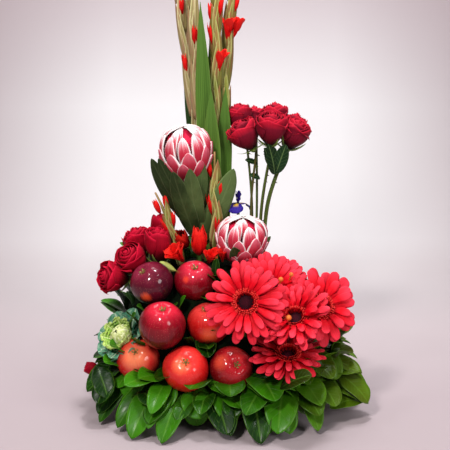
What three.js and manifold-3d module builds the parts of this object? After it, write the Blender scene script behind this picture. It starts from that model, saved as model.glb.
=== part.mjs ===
// A fruit and flower arrangement: seven red apples, gerberas, roses, proteas, gladioli, an iris and a
// curly kale, set into a leafy mound that fills a low oval basket.
// Millimetres, +Z up, and the front of the arrangement faces -Y.
// The origin is the centre of the basket's flat underside.
import * as THREE from "three";
import { mergeVertices } from "three/addons/utils/BufferGeometryUtils.js";
import Module from "manifold-3d";

const wasm = await Module();
wasm.setup();

// Driving dimensions
const GAP = 0.35; // clear distance between neighbouring pieces
const MERGE = 0.08; // detail smaller than this is merged away
const BASKET = { halfWidth: 152, halfDepth: 130, height: 62, wall: 5, floor: 5, footShare: 0.82 };
const APPLE = { sides: 12, bands: 6, height: 0.94, basinDepth: 0.3, basinWidth: 0.34, lobe: 0.02 };
const GERBERA = {
  petals: 14, thickness: 2, notch: 0.66, notchDrop: 5, cupLow: 3, cupHigh: 12, cupRim: 9,
  disc: 12, discHeight: 7, heel: 7, stem: 3,
};
const ROSE = { sides: 8, stem: 2.6, sepalWidth: 9, topSepals: [3, 3, 3, 0, 0, 0, 0] };
const PROTEA = { sides: 9, outerBracts: 8, innerBracts: 9, bractWidth: 20, thickness: 2, curl: 62, stem: 5 };
const SPIKE = {
  stem: 3.2, budLength: 62, budWidth: 14, budThickness: 9, budReach: 9, lowestBud: 430, bareTip: 24,
};
const LEAF = { length: 66, width: 32, thickness: 1.8, inset: 9 };
const SWORD = { thickness: 2.2, rows: [0, 0.3, 0.6, 0.85, 1] };
const IRIS_PETAL = {
  fallReach: 21, fallRise: -8, fallWidth: 18, standReach: 6, standRise: 26, standWidth: 11,
};
const KALE_LEAF = {
  thickness: 2.4, wave: 2.5, curl: 50, rise: 8, innerLength: 0.62, innerWidth: 0.7, innerRise: 22,
};

// The mound that everything is pushed into: level, centre, half width and half depth of each section
const MOUND = [
  { z: 8, x: 0, y: 0, across: 112, deep: 92 },
  { z: 62.6, x: 0, y: 0, across: 138, deep: 116 },
  { z: 64.5, x: 0, y: 0, across: 168, deep: 142 },
  { z: 84, x: 0, y: 0, across: 174, deep: 144 },
  { z: 104, x: -5, y: -2, across: 166, deep: 122 },
  { z: 130, x: -18, y: 0, across: 155, deep: 116 },
  { z: 163, x: -30, y: 3, across: 135, deep: 114 },
  { z: 200, x: -38, y: 4, across: 118, deep: 98 },
  { z: 226, x: -30, y: 5, across: 95, deep: 58 },
  { z: 238, x: -20, y: 5, across: 70, deep: 40 },
];
const MOUND_SIDES = 14;

const APPLES = [
  { place: [-138, -93, 99], facing: [-0.12, -0.74, 0.66], radius: 35.5 },
  { place: [-61, -136, 97], facing: [0.04, -0.77, 0.64], radius: 36 },
  { place: [10, -130, 96], facing: [0.29, -0.83, 0.47], radius: 34.5 },
  { place: [-97, -130, 165], facing: [0.05, -0.42, 0.9], radius: 36.5, height: 1.04 },
  { place: [-26, -100, 160], facing: [-0.19, -0.39, 0.9], radius: 35 },
  { place: [-116, -86, 222], facing: [-0.47, -0.46, 0.75], radius: 35 },
  { place: [-48, -78, 224], facing: [0.02, -0.47, 0.88], radius: 33 },
];

// via is where a stem passes behind the head, foot where it ends inside the mound
const GERBERAS = [
  {
    place: [31, -168, 211], facing: [-0.07, -0.93, 0.37], radius: 62,
    via: [30, -130, 172], foot: [30, -84, 120],
  },
  {
    place: [107, -160, 182], facing: [-0.22, -0.67, 0.71], radius: 56,
    via: [116, -104, 160], foot: [98, -52, 128],
  },
  {
    place: [96, -150, 119], facing: [0.01, -0.42, 0.91], radius: 58,
    via: [90, -128, 88], foot: [80, -72, 72],
  },
  {
    place: [147, -120, 191], facing: [0.21, -0.87, 0.45], radius: 61,
    via: [136, -76, 162], foot: [95, -30, 130],
  },
  {
    place: [72, -100, 211], facing: [-0.05, -0.82, 0.58], radius: 62,
    via: [72, -66, 188], foot: [52, -22, 160],
  },
];

const LOW_ROSES = [
  { place: [-180, -50, 223], facing: [-0.82, -0.51, 0.23], radius: 24.5, height: 54, foot: [-134, -22, 190] },
  { place: [-150, -42, 250], facing: [-0.53, -0.52, 0.67], radius: 26, height: 54, foot: [-112, -12, 200] },
  { place: [-144, -6, 272], facing: [-0.4, -0.04, 0.92], radius: 23.5, height: 54, foot: [-112, 4, 202] },
  { place: [-108, -42, 273], facing: [-0.08, -0.11, 0.99], radius: 23, height: 62, foot: [-94, -24, 206] },
  { place: [-105, 14, 290], facing: [0.05, 0, 1], radius: 21, height: 54, foot: [-90, 8, 208] },
  { place: [-219, -44, 66], facing: [-0.95, -0.1, 0.3], radius: 11, height: 27, foot: [-158, -30, 82] },
];

// The tall roses stand on long bare stems that meet in a narrow sheaf. Each leaf is [base, tip, width].
const TALL_ROSES = [
  {
    place: [32, 2, 449], facing: [-0.51, -0.19, 0.84], radius: 26, height: 56, via: [43, 0, 330],
    foot: [47, -4, 206],
  },
  {
    place: [75, -8, 460], facing: [0.01, -0.24, 0.97], radius: 26.5, height: 60, via: [60, 0, 330],
    foot: [55, -4, 206], leaves: [[[70, 0, 404], [63, -22, 430], 16]],
  },
  {
    place: [112, 10, 450], facing: [0.33, -0.24, 0.91], radius: 26, height: 57, via: [71, 1, 330],
    foot: [63, -1, 206], leaves: [[[82, 2, 384], [70, -12, 436], 24], [[84, 2, 386], [99, -10, 434], 24]],
  },
  {
    place: [25, 46, 474], facing: [-0.3, -0.06, 0.93], radius: 22, height: 52, via: [45, 12, 330],
    foot: [42, 5, 206], leaves: [[[54, 14, 400], [33, 2, 408], 11], [[58, 13, 376], [40, 3, 383], 11]],
  },
  {
    place: [51, 66, 469], facing: [-0.08, 0.1, 0.99], radius: 20, height: 50, via: [53, 8, 330],
    foot: [50, 10, 206],
  },
  {
    place: [84, 54, 475], facing: [0.05, 0, 1], radius: 21.5, height: 52, via: [62, 15, 330],
    foot: [58, 13, 206],
  },
  {
    place: [115, 54, 458], facing: [0.3, 0, 0.95], radius: 21, height: 50, via: [69, 10, 330],
    foot: [66, 9, 206],
  },
];

// Each protea leaf is [base, tip, width]
const PROTEAS = [
  {
    place: [-63, -15, 419], facing: [-0.11, -0.26, 0.96], radius: 42, height: 92,
    via: [-48, 14, 300], foot: [-42, 8, 208],
    leaves: [
      [[-47, 12, 286], [-119, -24, 413], 30], [[-48, 11, 302], [-106, -42, 415], 26],
      [[-45, 10, 270], [-82, -62, 396], 31], [[-45, 10, 276], [-55, -66, 401], 30],
      [[-46, 12, 284], [-35, -40, 409], 22], [[-44, 9, 258], [14, -30, 397], 38],
      [[-49, 12, 312], [-104, 30, 398], 25],
    ],
  },
  {
    place: [27, -45, 283], facing: [0.02, -0.17, 0.98], radius: 41, height: 76,
    via: [25, -34, 236], foot: [23, -24, 205],
    leaves: [[[25, -34, 238], [14, -94, 281], 22], [[25, -34, 238], [74, -38, 288], 18]],
  },
];

// Flower spikes run from foot to tip, with buds from the lowest level upwards
const SPIKES = [
  { foot: [-36, 46, 206], tip: [-113, 64, 855], buds: 7, bow: 16 },
  { foot: [-28, 60, 206], tip: [-80, 92, 880], buds: 7 },
  { foot: [-34, 34, 206], tip: [-61, 42, 838], buds: 7 },
  { foot: [-17, 34, 206], tip: [-13, 44, 890], buds: 8 },
  { foot: [-8, 48, 206], tip: [33, 76, 862], buds: 7, bow: -12 },
  { foot: [-14, -14, 212], tip: [-17, -24, 430], buds: 4, lowest: 285 },
  { foot: [-68, -24, 212], tip: [-115, -42, 366], buds: 3, lowest: 262, bow: 4 },
];

// Sword leaves, in layers from front to back
const SWORDS = [
  { foot: [-18, 14, 208], tip: [-23, 6, 524], width: 31 },
  { foot: [-24, 20, 208], tip: [-40, 18, 662], width: 27 },
  { foot: [-7, 26, 208], tip: [1, 26, 526], width: 27 },
  { foot: [-30, 53, 208], tip: [-70, 68, 612], width: 20 },
  { foot: [-6, 41, 208], tip: [-22, 48, 640], width: 27 },
  { foot: [-16, 54, 208], tip: [-46, 62, 626], width: 20 },
];

const FLORETS = [
  { place: [-76, -62, 262], facing: [-0.5, -0.5, 0.7], radius: 15, height: 34 },
  { place: [-70, -30, 285], facing: [-0.2, -0.6, 0.75], radius: 11, height: 36 },
  { place: [-42, -46, 281], facing: [0, -0.1, 1], radius: 14, height: 48 },
  { place: [-24, -55, 256], facing: [0.2, -0.6, 0.75], radius: 10, height: 30 },
  { place: [-4, -66, 262], facing: [0, -0.5, 0.86], radius: 8, height: 26 },
];

const IRIS = { place: [22, 10, 334], foot: [22, 4, 206], stem: 2.4 };
const KALE = { place: [-165, -78, 129], facing: [-0.47, -0.64, 0.6], leaves: 6, length: 44, width: 42 };
const LIME_BUD = { from: [-104, -68, 252], to: [-77, -74, 238], width: 11 };
const ORANGE_BUDS = [
  { foot: [99, -161, 188], head: [95, -173, 189], radius: 4.5 },
  { foot: [84, -110, 222], head: [86, -125, 237], radius: 4 },
  { foot: [99, -104, 226], head: [102, -122, 244], radius: 3.5 },
];

// The leaves that show at the front of the collar, each from its base to its tip, and its width
const FRONT_LEAVES = [
  [[-150, -49, 87], [-219, -110, 50], 40.8], [[-146, -58, 72], [-201, -122, 18], 34.5],
  [[-140, -66, 70], [-198, -128, 6], 23], [[-112, -104, 69], [-166, -160, 10], 29.9],
  [[-100, -110, 69], [-142, -188, 4], 39.1], [[-92, -112, 69], [-116, -190, 21], 25.3],
  [[-88, -112, 74], [-111, -192, 45], 27.6], [[-98, -114, 70], [-133, -154, 88], 34],
  [[-106, -108, 72], [-153, -164, 80], 36], [[-62, -111, 69], [-95, -205, 4], 35.6],
  [[-84, -112, 69], [-115, -190, 29], 34.5], [[-26, -124, 70], [-37, -192, 44], 29.9],
  [[-28, -126, 82], [3, -172, 70], 20.7], [[-24, -120, 69], [4, -197, 14], 39.1],
  [[-14, -112, 69], [9, -196, 12], 32.2], [[40, -124, 69], [54, -207, 4], 39.1],
  [[60, -118, 69], [66, -194, 14], 32.2], [[70, -118, 72], [31, -200, 46], 39.1],
  [[46, -122, 88], [76, -194, 66], 48.3], [[96, -110, 74], [79, -198, 16], 46],
  [[112, -106, 76], [146, -176, 52], 41.4], [[128, -94, 69], [143, -168, 8], 29.9],
  [[150, -64, 70], [229, -104, 28], 39.1], [[150, -54, 84], [231, -92, 32], 43.7],
  [[146, -60, 98], [220, -90, 74], 27.6], [[140, -70, 108], [167, -140, 82], 39.1],
  [[150, -40, 92], [206, -86, 108], 27.6], [[140, -44, 106], [194, -94, 160], 39.1],
];

// Rule-placed leaves: level on the mound, how many, first and last heading in degrees, and their pitch
const LEAF_RINGS = [
  { z: 70, count: 12, from: -28, to: 208, pitch: -40 },
  { z: 80, count: 10, from: -20, to: 200, pitch: -12 },
  { z: 96, count: 8, from: -10, to: 206, pitch: 14 },
  { z: 120, count: 6, from: -4, to: 176, pitch: 34 },
  { z: 146, count: 5, from: 10, to: 168, pitch: 46 },
  { z: 176, count: 4, from: 18, to: 170, pitch: 54 },
  { z: 206, count: 4, from: 60, to: 158, pitch: 58 },
];
const GAP_LEAVES = [
  [[-34, -112, 126], [-24, -146, 132], 22], [[-10, -78, 200], [2, -116, 222], 18],
  [[-16, -66, 214], [-8, -104, 240], 16],
];

const COLOUR = {
  wicker: "#4a3220", leaf: "#2f6b1c", apple: "#9c1420", gerbera: "#f01822", rose: "#8e0a24",
  protea: "#d45a72", proteaLeaf: "#4c6a3c", spike: "#8c8a48", sword: "#4c8236", iris: "#3a1cb0",
  floret: "#e8180e", limeBud: "#b8c45c", orangeBud: "#f0883c", kale: "#7fb07a",
};

const UP = new THREE.Vector3(0, 0, 1);
const vector = (p) => new THREE.Vector3(...p);
const rad = THREE.MathUtils.degToRad;

// A repeatable unevenness between -1 and 1 for copy number i
const uneven = (i, k) => Math.sin(i * 12.9898 + k * 78.233);

// Joins a geometry's shared points, drops its collapsed faces and turns it right side out
function solid(geometry) {
  const bare = new THREE.BufferGeometry();
  bare.setAttribute("position", geometry.getAttribute("position"));
  bare.setIndex(geometry.index);
  const welded = mergeVertices(bare, 1e-3);
  const corner = [...welded.index.array];
  const faces = [];
  for (let i = 0; i < corner.length; i += 3) {
    const [a, b, c] = corner.slice(i, i + 3);
    if (a !== b && b !== c && c !== a) faces.push([a, b, c]);
  }
  const at = (i) => new THREE.Vector3().fromBufferAttribute(welded.getAttribute("position"), i);
  const volume = faces.reduce((sum, [a, b, c]) => sum + at(a).dot(at(b).cross(at(c))), 0);
  const triVerts = new Uint32Array((volume < 0 ? faces.map((f) => f.toReversed()) : faces).flat());
  const vertProperties = new Float32Array(welded.getAttribute("position").array);
  return new wasm.Manifold(new wasm.Mesh({ numProp: 3, vertProperties, triVerts }));
}

const joined = (solids) => solids.reduce((whole, next) => whole.add(next));

// The matrix that moves a flower from its own axes, +Z out of its face, to its place
function standing(place, facing, spin = 0) {
  const turn = new THREE.Quaternion().setFromUnitVectors(UP, vector(facing).normalize());
  turn.multiply(new THREE.Quaternion().setFromAxisAngle(UP, rad(spin)));
  return new THREE.Matrix4().compose(vector(place), turn, new THREE.Vector3(1, 1, 1));
}

// Moves every point of a geometry by a rule of its position
function reshape(geometry, rule) {
  const position = geometry.getAttribute("position");
  const point = new THREE.Vector3();
  for (let i = 0; i < position.count; i++) {
    point.fromBufferAttribute(position, i);
    rule(point);
    position.setXYZ(i, point.x, point.y, point.z);
  }
  return geometry;
}

// A round form about +Z from [radius, height] rows, which start and end on the axis
function turned(rows, sides) {
  const profile = rows.map(([radius, height]) => new THREE.Vector2(radius, height));
  return new THREE.LatheGeometry(profile, sides).rotateX(Math.PI / 2);
}

// A straight-sided rod along a curve through points
function rod(points, radius, grow, sides = 5, steps = 5) {
  const route = points.map(vector);
  const start = route[0].clone().sub(route[1]).setLength(grow);
  const end = route.at(-1).clone().sub(route.at(-2)).setLength(grow);
  route[0].add(start);
  route.at(-1).add(end);
  const section = new THREE.Shape(
    Array.from({ length: sides }, (_, i) => {
      const angle = (i / sides) * 2 * Math.PI;
      return new THREE.Vector2(Math.cos(angle), Math.sin(angle)).multiplyScalar(radius + grow);
    }),
  );
  const extrudePath = new THREE.CatmullRomCurve3(route);
  return new THREE.ExtrudeGeometry(section, { steps, bevelEnabled: false, extrudePath });
}

// The half width of a leaf at the share t of its length, as a share of its greatest
const leafOutline = (t) => Math.sin(Math.PI * t ** 0.8) ** 0.75;
const petalOutline = (t) => Math.min(1, 0.12 + 1.3 * t) * Math.sqrt(Math.max(0, 1 - t ** 8));

// A thin curved solid from base to tip: a leaf, petal or bract. bend is its curl in degrees along its
// length, fold lifts its edges, wave ripples them, and upper is the side its face is turned to.
// Both faces are split into triangles alike.
function blade(base, tip, width, look = {}, grow = 0) {
  const { bend = 0, fold = 0.15, wave = 0, upper = [0, 0, 1], outline = leafOutline } = look;
  const { thickness = LEAF.thickness, rows = [0, 0.36, 0.72, 1], columns = [-1, 0, 1] } = look;
  const chord = vector(tip).sub(vector(base));
  const along = chord.clone().normalize();
  const across = vector(upper).cross(along).normalize();
  const normal = along.clone().cross(across);
  const curl = rad(bend) || 1e-4;
  const stretch = chord.length() / Math.sin(curl / 2) / 2;
  const place = (t, s, side) => {
    const turn = curl * (t - 0.5);
    const inside = t > 0 && t < 1;
    const reach = stretch * (Math.sin(turn) + Math.sin(curl / 2)) + (inside ? 0 : grow * Math.sign(t - 0.5));
    const rise = stretch * (Math.cos(curl / 2) - Math.cos(turn));
    const half = (width / 2) * outline(t) + (inside ? grow : 0);
    const ripple = wave * Math.sin(t * 14 + s * 2) * Math.abs(s) * Math.min(1, 4 * t * (1 - t));
    const thick = side * ((thickness / 2) * (1 - Math.abs(s)) * Math.sin(Math.PI * t) ** 0.5 + grow);
    return vector(base)
      .addScaledVector(along, reach)
      .addScaledVector(normal, rise + fold * Math.abs(s) * half + ripple + thick)
      .addScaledVector(across, s * half);
  };
  const position = [1, -1].flatMap((side) =>
    rows.flatMap((t) => columns.flatMap((s) => place(t, s, side).toArray())),
  );
  return sheetFaces(position, rows.length, columns.length);
}

// The faces of a thin solid whose points are an upper grid and then a lower grid of the same size
function sheetFaces(position, rows, columns) {
  const lower = rows * columns;
  const index = [];
  for (let r = 0; r + 1 < rows; r++) {
    for (let c = 0; c + 1 < columns; c++) {
      const [a, b] = [r * columns + c, r * columns + c + 1];
      const [d, e] = [a + columns, b + columns];
      const halves = c < (columns - 1) / 2 ? [[a, b, e], [a, e, d]] : [[a, b, d], [b, e, d]];
      for (const half of halves) index.push(...half, ...half.toReversed().map((i) => i + lower));
    }
  }
  const rim = [];
  for (let c = 0; c < columns; c++) rim.push(c);
  for (let r = 1; r < rows; r++) rim.push((r + 1) * columns - 1);
  for (let c = columns - 2; c >= 0; c--) rim.push((rows - 1) * columns + c);
  for (let r = rows - 2; r > 0; r--) rim.push(r * columns);
  rim.forEach((a, i) => {
    const b = rim[(i + 1) % rim.length];
    index.push(b, a, a + lower, b, a + lower, b + lower);
  });
  const geometry = new THREE.BufferGeometry();
  geometry.setAttribute("position", new THREE.Float32BufferAttribute(position, 3));
  geometry.setIndex(index);
  return geometry;
}

// Basket: a low oval tub with a flat underside, widening upwards
function basket(grow) {
  const { halfWidth, halfDepth, height, wall, floor, footShare } = BASKET;
  const foot = halfWidth * footShare;
  const shell = [
    [0, -grow],
    [foot + grow, -grow],
    [halfWidth + grow, height + grow],
    [halfWidth - wall - grow, height + grow],
    [foot - wall - grow, floor + grow],
    [0, floor + grow],
  ];
  return solid(turned(shell, 20).scale(1, halfDepth / halfWidth, 1));
}

// Apple: its eye end, with a basin and five low lobes, is the end that faces out
function apple({ place, facing, radius, height = APPLE.height }, number, grow) {
  const { sides, bands, basinDepth, basinWidth, lobe } = APPLE;
  const rows = Array.from({ length: bands + 1 }, (_, i) => {
    const turn = Math.PI * (i / bands - 0.5);
    const reach = i === 0 || i === bands ? 0 : Math.cos(turn);
    const basin = basinDepth * Math.exp(-((reach / basinWidth) ** 2));
    return [reach * radius, Math.sin(turn) * (height - basin) * radius];
  });
  const body = reshape(turned(rows, sides), (p) => {
    const high = Math.max(0, p.z / radius);
    const ridge = 1 + lobe * high * Math.cos(5 * Math.atan2(p.y, p.x));
    const lean = 0.03 * uneven(number, 1) * p.x;
    p.set(p.x * ridge * (1 + 0.02 * uneven(number, 2)), p.y * ridge, p.z + lean);
  });
  const swell = 1 + grow / (radius * height);
  return solid(body.scale(swell, swell, swell).applyMatrix4(standing(place, facing, 24 * number)));
}

// The stem of a flower: straight out of its head, through via, into the mound at foot
function flowerStem({ place, facing, via, foot }, drop, radius, grow) {
  const top = vector(place).addScaledVector(vector(facing).normalize(), -drop);
  const route = via ? [top.toArray(), via, foot] : [top.toArray(), foot];
  return solid(rod(route, radius, grow, 5, via ? 5 : 2));
}

// The petals of a gerbera as one wheel that is notched between their tips
function petalWheel(radius, number, grow) {
  const { petals, thickness, notch, notchDrop, cupLow, cupHigh, cupRim } = GERBERA;
  const wheel = [
    [0, cupLow],
    [radius * notch, cupHigh],
    [radius + grow, cupRim],
    [radius * notch, cupHigh - thickness],
    [0, cupLow - thickness],
  ];
  return reshape(turned(wheel, 2 * petals), (p) => {
    const corner = Math.round((Math.atan2(p.x, -p.y) / Math.PI) * petals);
    const share = Math.hypot(p.x, p.y) / (radius + grow);
    const tip = corner % 2 === 0 ? 1 + 0.07 * uneven(corner, number) : notch + 0.08;
    const rise = corner % 2 === 0 ? 2.5 * uneven(corner, number + 3) : -notchDrop;
    if (share > 0.99) p.set(p.x * tip, p.y * tip, p.z + rise);
    const level = THREE.MathUtils.lerp(cupLow, cupHigh, Math.min(1, share / notch)) - thickness / 2;
    p.z += grow * Math.sign(p.z - level);
  });
}

// Gerbera: strap petals that part towards their tips, round a low disc
function gerbera(flower, number, grow) {
  const { disc, discHeight, heel, stem } = GERBERA;
  const core = [
    [0, -heel - 1],
    [disc / 2 + grow, -heel],
    [disc + 2 + grow, GERBERA.cupLow],
    [disc + grow, discHeight + grow],
    [0, discHeight + grow],
  ];
  const head = solid(petalWheel(flower.radius, number, grow)).add(solid(turned(core, 8)));
  const placed = head.transform(standing(flower.place, flower.facing, 9 * number).elements);
  return placed.add(flowerStem(flower, heel - 1, stem, grow));
}

// The head of a rose: a cup of five outer petals that closes on a bud
function roseHead({ radius, height }, number, grow) {
  const rows = [
    [0, -0.52], [0.55, -0.44], [0.97, -0.08], [0.98, 0.24], [0.8, 0.44], [0.5, 0.36], [0, 0.5],
  ].map(([r, z]) => [r * radius, z * height]);
  const head = reshape(turned(rows, ROSE.sides), (p) => {
    const high = Math.max(0, p.z / height);
    const share = Math.hypot(p.x, p.y) / radius;
    const flare = 1 + 0.14 * high * Math.cos(5 * Math.atan2(p.y, p.x) + 4 * high + number);
    p.set(p.x * flare, p.y * flare, p.z + 0.05 * height * share * high * uneven(number, Math.round(p.x)));
  });
  const swell = 1 + grow / (radius * 0.9);
  return solid(head.scale(swell, swell, swell));
}

// Rose: a head with its sepals, on a stem with its leaves
function rose(flower, number, grow, sepals = 0) {
  const { radius, height } = flower;
  const parts = [roseHead(flower, number, grow)];
  for (let i = 0; i < sepals; i++) {
    const angle = (i / sepals) * 2 * Math.PI + number;
    const out = (r, z) => [r * Math.cos(angle), r * Math.sin(angle), z];
    const look = { bend: 30, rows: [0, 0.45, 1], upper: out(-1, 0) };
    const base = out(2, -0.5 * height);
    const tip = out(radius * 1.1, (-0.42 + 0.14 * uneven(i, number)) * height);
    parts.push(solid(blade(base, tip, ROSE.sepalWidth, look, grow)));
  }
  const head = joined(parts).transform(standing(flower.place, flower.facing, 31 * number).elements);
  const whole = [head, flowerStem(flower, height * 0.45, ROSE.stem, grow)];
  for (const [base, tip, width] of flower.leaves ?? []) {
    whole.push(solid(blade(base, tip, width, { bend: -30, rows: [0, 0.5, 1] }, grow)));
  }
  return joined(whole);
}

const tallRose = (flower, number, grow) => rose(flower, number, grow, ROSE.topSepals[number]);

// Protea head: a goblet of bracts, the inner row taller and closing over the crown
function proteaHead({ place, facing, radius, height }, number, grow) {
  const { curl: bend, thickness } = PROTEA;
  const rows = [
    [0, -0.5], [0.34, -0.47], [0.8, -0.22], [0.93, 0.08], [0.74, 0.36], [0.4, 0.44], [0, 0.3],
  ].map(([r, z]) => [r * radius * 0.92 + (r ? grow : 0), z * height + grow * Math.sign(z)]);
  const parts = [solid(turned(rows, PROTEA.sides))];
  const bractRow = (count, low, high, reach, turn) => {
    for (let i = 0; i < count; i++) {
      const angle = ((i + turn) / count) * 2 * Math.PI;
      const out = (r, z) => [r * radius * Math.cos(angle), r * radius * Math.sin(angle), z * height];
      const look = { bend, fold: 0.1, rows: [0, 0.55, 1], upper: out(-1, 0), thickness };
      parts.push(solid(blade(out(0.36, low), out(reach, high), PROTEA.bractWidth, look, grow)));
    }
  };
  bractRow(PROTEA.outerBracts, -0.46, 0.2, 0.96, 0);
  bractRow(PROTEA.innerBracts, -0.2, 0.5, 0.7, 0.5);
  return joined(parts).transform(standing(place, facing, 17 * number).elements);
}

// Protea stem with its oblong leaves. It ends a gap below the head.
function proteaStem(flower, number, grow) {
  const parts = [flowerStem(flower, flower.height * 0.5 + GAP + 0.3 + grow, PROTEA.stem, grow)];
  for (const [base, tip, width] of flower.leaves) {
    const inward = [flower.via[0] - tip[0], flower.via[1] - tip[1], 60];
    const look = { bend: 26, fold: 0.2, upper: inward, thickness: 2.2, rows: [0, 0.55, 1] };
    parts.push(solid(blade(base, tip, width, look, grow)));
  }
  return joined(parts);
}

// Gladiolus spike: buds in two ranks, smaller towards the tip. bow shifts its middle along X.
function spike({ foot, tip, buds, lowest = SPIKE.lowestBud, bow = 0 }, number, grow) {
  const [low, high] = [vector(foot), vector(tip)];
  const middle = low.clone().lerp(high, 0.5).add(new THREE.Vector3(bow, 0, 0));
  const parts = [solid(rod([foot, middle.toArray(), tip], SPIKE.stem, grow, 4, 3))];
  const rise = high.clone().sub(low).normalize();
  for (let i = 0; i < buds; i++) {
    const share = i / buds;
    const level = THREE.MathUtils.lerp(lowest, tip[2] - SPIKE.bareTip, share);
    const t = (level - foot[2]) / (tip[2] - foot[2]);
    const base = low.clone().lerp(high, t);
    base.x += bow * (1 - Math.abs(2 * t - 1));
    const angle = Math.PI * i - 0.35 * (-1) ** i + 0.2 * uneven(i, number);
    const size = 1 - 0.4 * share;
    const out = new THREE.Vector3(Math.cos(angle), Math.sin(angle), 0);
    const end = base.clone().addScaledVector(rise, SPIKE.budLength * size);
    end.addScaledVector(out, SPIKE.budReach * size);
    const look = { rows: [0, 0.55, 1], thickness: SPIKE.budThickness * size, upper: out.toArray(), fold: 0 };
    parts.push(solid(blade(base.toArray(), end.toArray(), SPIKE.budWidth * size, look, grow)));
  }
  return joined(parts);
}

// Sword leaf: long, narrow and nearly flat
function sword({ foot, tip, width }, number, grow) {
  const look = { bend: 5 * uneven(number, 2), fold: 0.08, upper: [0.2 * uneven(number, 4), -1, 0] };
  const outline = (t) => Math.min(1, 0.62 + t) * Math.sqrt(Math.max(0, 1 - t ** 5));
  return solid(blade(foot, tip, width, { ...look, ...SWORD, outline }, grow));
}

// Floret: a six-pointed trumpet on a short throat
function floret({ place, facing, radius, height }, number, grow) {
  const rows = [[0, -0.5], [0.4, -0.3], [1, 0.48], [0.3, 0.1], [0, 0.04]];
  const body = turned(rows.map(([r, z]) => [r * radius, z * height]), 12);
  reshape(body, (p) => {
    const high = Math.max(0, p.z / height + 0.1);
    const star = 1 + 0.5 * high * Math.cos(6 * Math.atan2(p.y, p.x));
    p.set(p.x * star, p.y * star, p.z * (1 + 0.1 * (star - 1)));
  });
  const swell = 1 + grow / (radius * 0.35);
  return solid(body.scale(swell, swell, swell).applyMatrix4(standing(place, facing, 20 * number)));
}

// Iris: three falls hanging out and three standards, on its own stem
function iris({ place, foot, stem }, number, grow) {
  const { fallReach, fallRise, fallWidth, standReach, standRise, standWidth } = IRIS_PETAL;
  const [x, y, z] = place;
  const parts = [solid(rod([[x, y, z + 2], [x, y - 2, (z + foot[2]) / 2], foot], stem, grow, 5, 3))];
  for (let i = 0; i < 6; i++) {
    const [cos, sin] = [Math.cos(rad(210 + 60 * i)), Math.sin(rad(210 + 60 * i))];
    const tip = (reach, rise) => [x + reach * cos, y + reach * sin, z + rise];
    const base = [x, y, z - 1];
    const fall = { bend: -80, rows: [0, 0.5, 1] };
    const standard = { bend: 30, rows: [0, 0.5, 1], upper: [-cos, -sin, 0] };
    const petal =
      i % 2 === 1
        ? blade(base, tip(fallReach, fallRise), fallWidth, fall, grow)
        : blade(base, tip(standReach, standRise), standWidth, standard, grow);
    parts.push(solid(petal));
  }
  return joined(parts);
}

// Kale: wavy leaves round a short heart
function kale({ place, facing, leaves, length, width }, number, grow) {
  const { thickness, wave, curl, innerLength, innerWidth, rise, innerRise } = KALE_LEAF;
  const rows = [[0, -24], [7 + grow, -22], [11 + grow, -4], [6 + grow, 8 + grow], [0, 11 + grow]];
  const parts = [solid(turned(rows, 8))];
  const look = { bend: curl, fold: 0.25, wave, rows: [0, 0.75, 1], thickness, outline: petalOutline };
  for (let i = 0; i < leaves; i++) {
    const inner = i % 2 === 1;
    const angle = (i / leaves) * 2 * Math.PI;
    const out = (r, z) => [r * Math.cos(angle), r * Math.sin(angle), z];
    const tip = out(length * (inner ? innerLength : 1), inner ? innerRise : rise);
    parts.push(solid(blade(out(3, -6), tip, width * (inner ? innerWidth : 1), look, grow)));
  }
  return joined(parts).transform(standing(place, facing).elements);
}

// Closed bud between two points
function bud({ from, to, width }, number, grow) {
  return solid(blade(from, to, width, { rows: [0, 0.3, 0.7, 1], thickness: width, fold: 0 }, grow));
}

// Orange buds: small round heads on short stalks
function orangeBud({ foot, head, radius }, number, grow) {
  const rows = [[0, -1], [0.75, -0.66], [1, 0], [0.75, 0.66], [0, 1.1]].map(([r, z]) => {
    return [r ? r * radius + grow : 0, z * radius + Math.sign(z) * grow];
  });
  const facing = vector(head).sub(vector(foot)).toArray();
  const ball = turned(rows, 8).applyMatrix4(standing(head, facing));
  return solid(ball).add(solid(rod([foot, head], 1.2, grow, 4, 1)));
}

// The mound's section at level z
function moundSection(z) {
  const above = Math.max(1, MOUND.findIndex((section) => section.z >= z));
  const [low, high] = [MOUND[above - 1], MOUND[above]];
  const t = (z - low.z) / (high.z - low.z);
  const mix = (key) => THREE.MathUtils.lerp(low[key], high[key], t);
  return { x: mix("x"), y: mix("y"), across: mix("across"), deep: mix("deep") };
}

function moundCore() {
  const rows = MOUND.map((section) => [1, section.z]);
  const core = turned([[0, MOUND[0].z], ...rows, [0, MOUND.at(-1).z]], MOUND_SIDES);
  return solid(reshape(core, (p) => {
    const { x, y, across, deep } = moundSection(p.z);
    p.set(x + p.x * across, y + p.y * deep, p.z);
  }));
}

// A leaf that grows out of the mound at level z and heading, in degrees
function ringLeaf(z, heading, pitch, number) {
  const { x, y, across, deep } = moundSection(z);
  const [cos, sin] = [Math.cos(rad(heading)), Math.sin(rad(heading))];
  const base = [x + (across - LEAF.inset) * cos, y + (deep - LEAF.inset) * sin, z + 3 * uneven(number, 6)];
  const turn = rad(heading + 24 * uneven(number, 7));
  const tilt = rad(pitch + 12 * uneven(number, 8));
  const length = LEAF.length * (1 + 0.14 * uneven(number, 9));
  const tip = [
    base[0] + length * Math.cos(tilt) * Math.cos(turn),
    base[1] + length * Math.cos(tilt) * Math.sin(turn),
    Math.max(7, base[2] + length * Math.sin(tilt)),
  ];
  const upper = [-0.5 * cos * Math.sin(tilt), -0.5 * sin * Math.sin(tilt), 1];
  return [base, tip, LEAF.width * (1 + 0.12 * uneven(number, 10)), upper];
}

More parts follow.
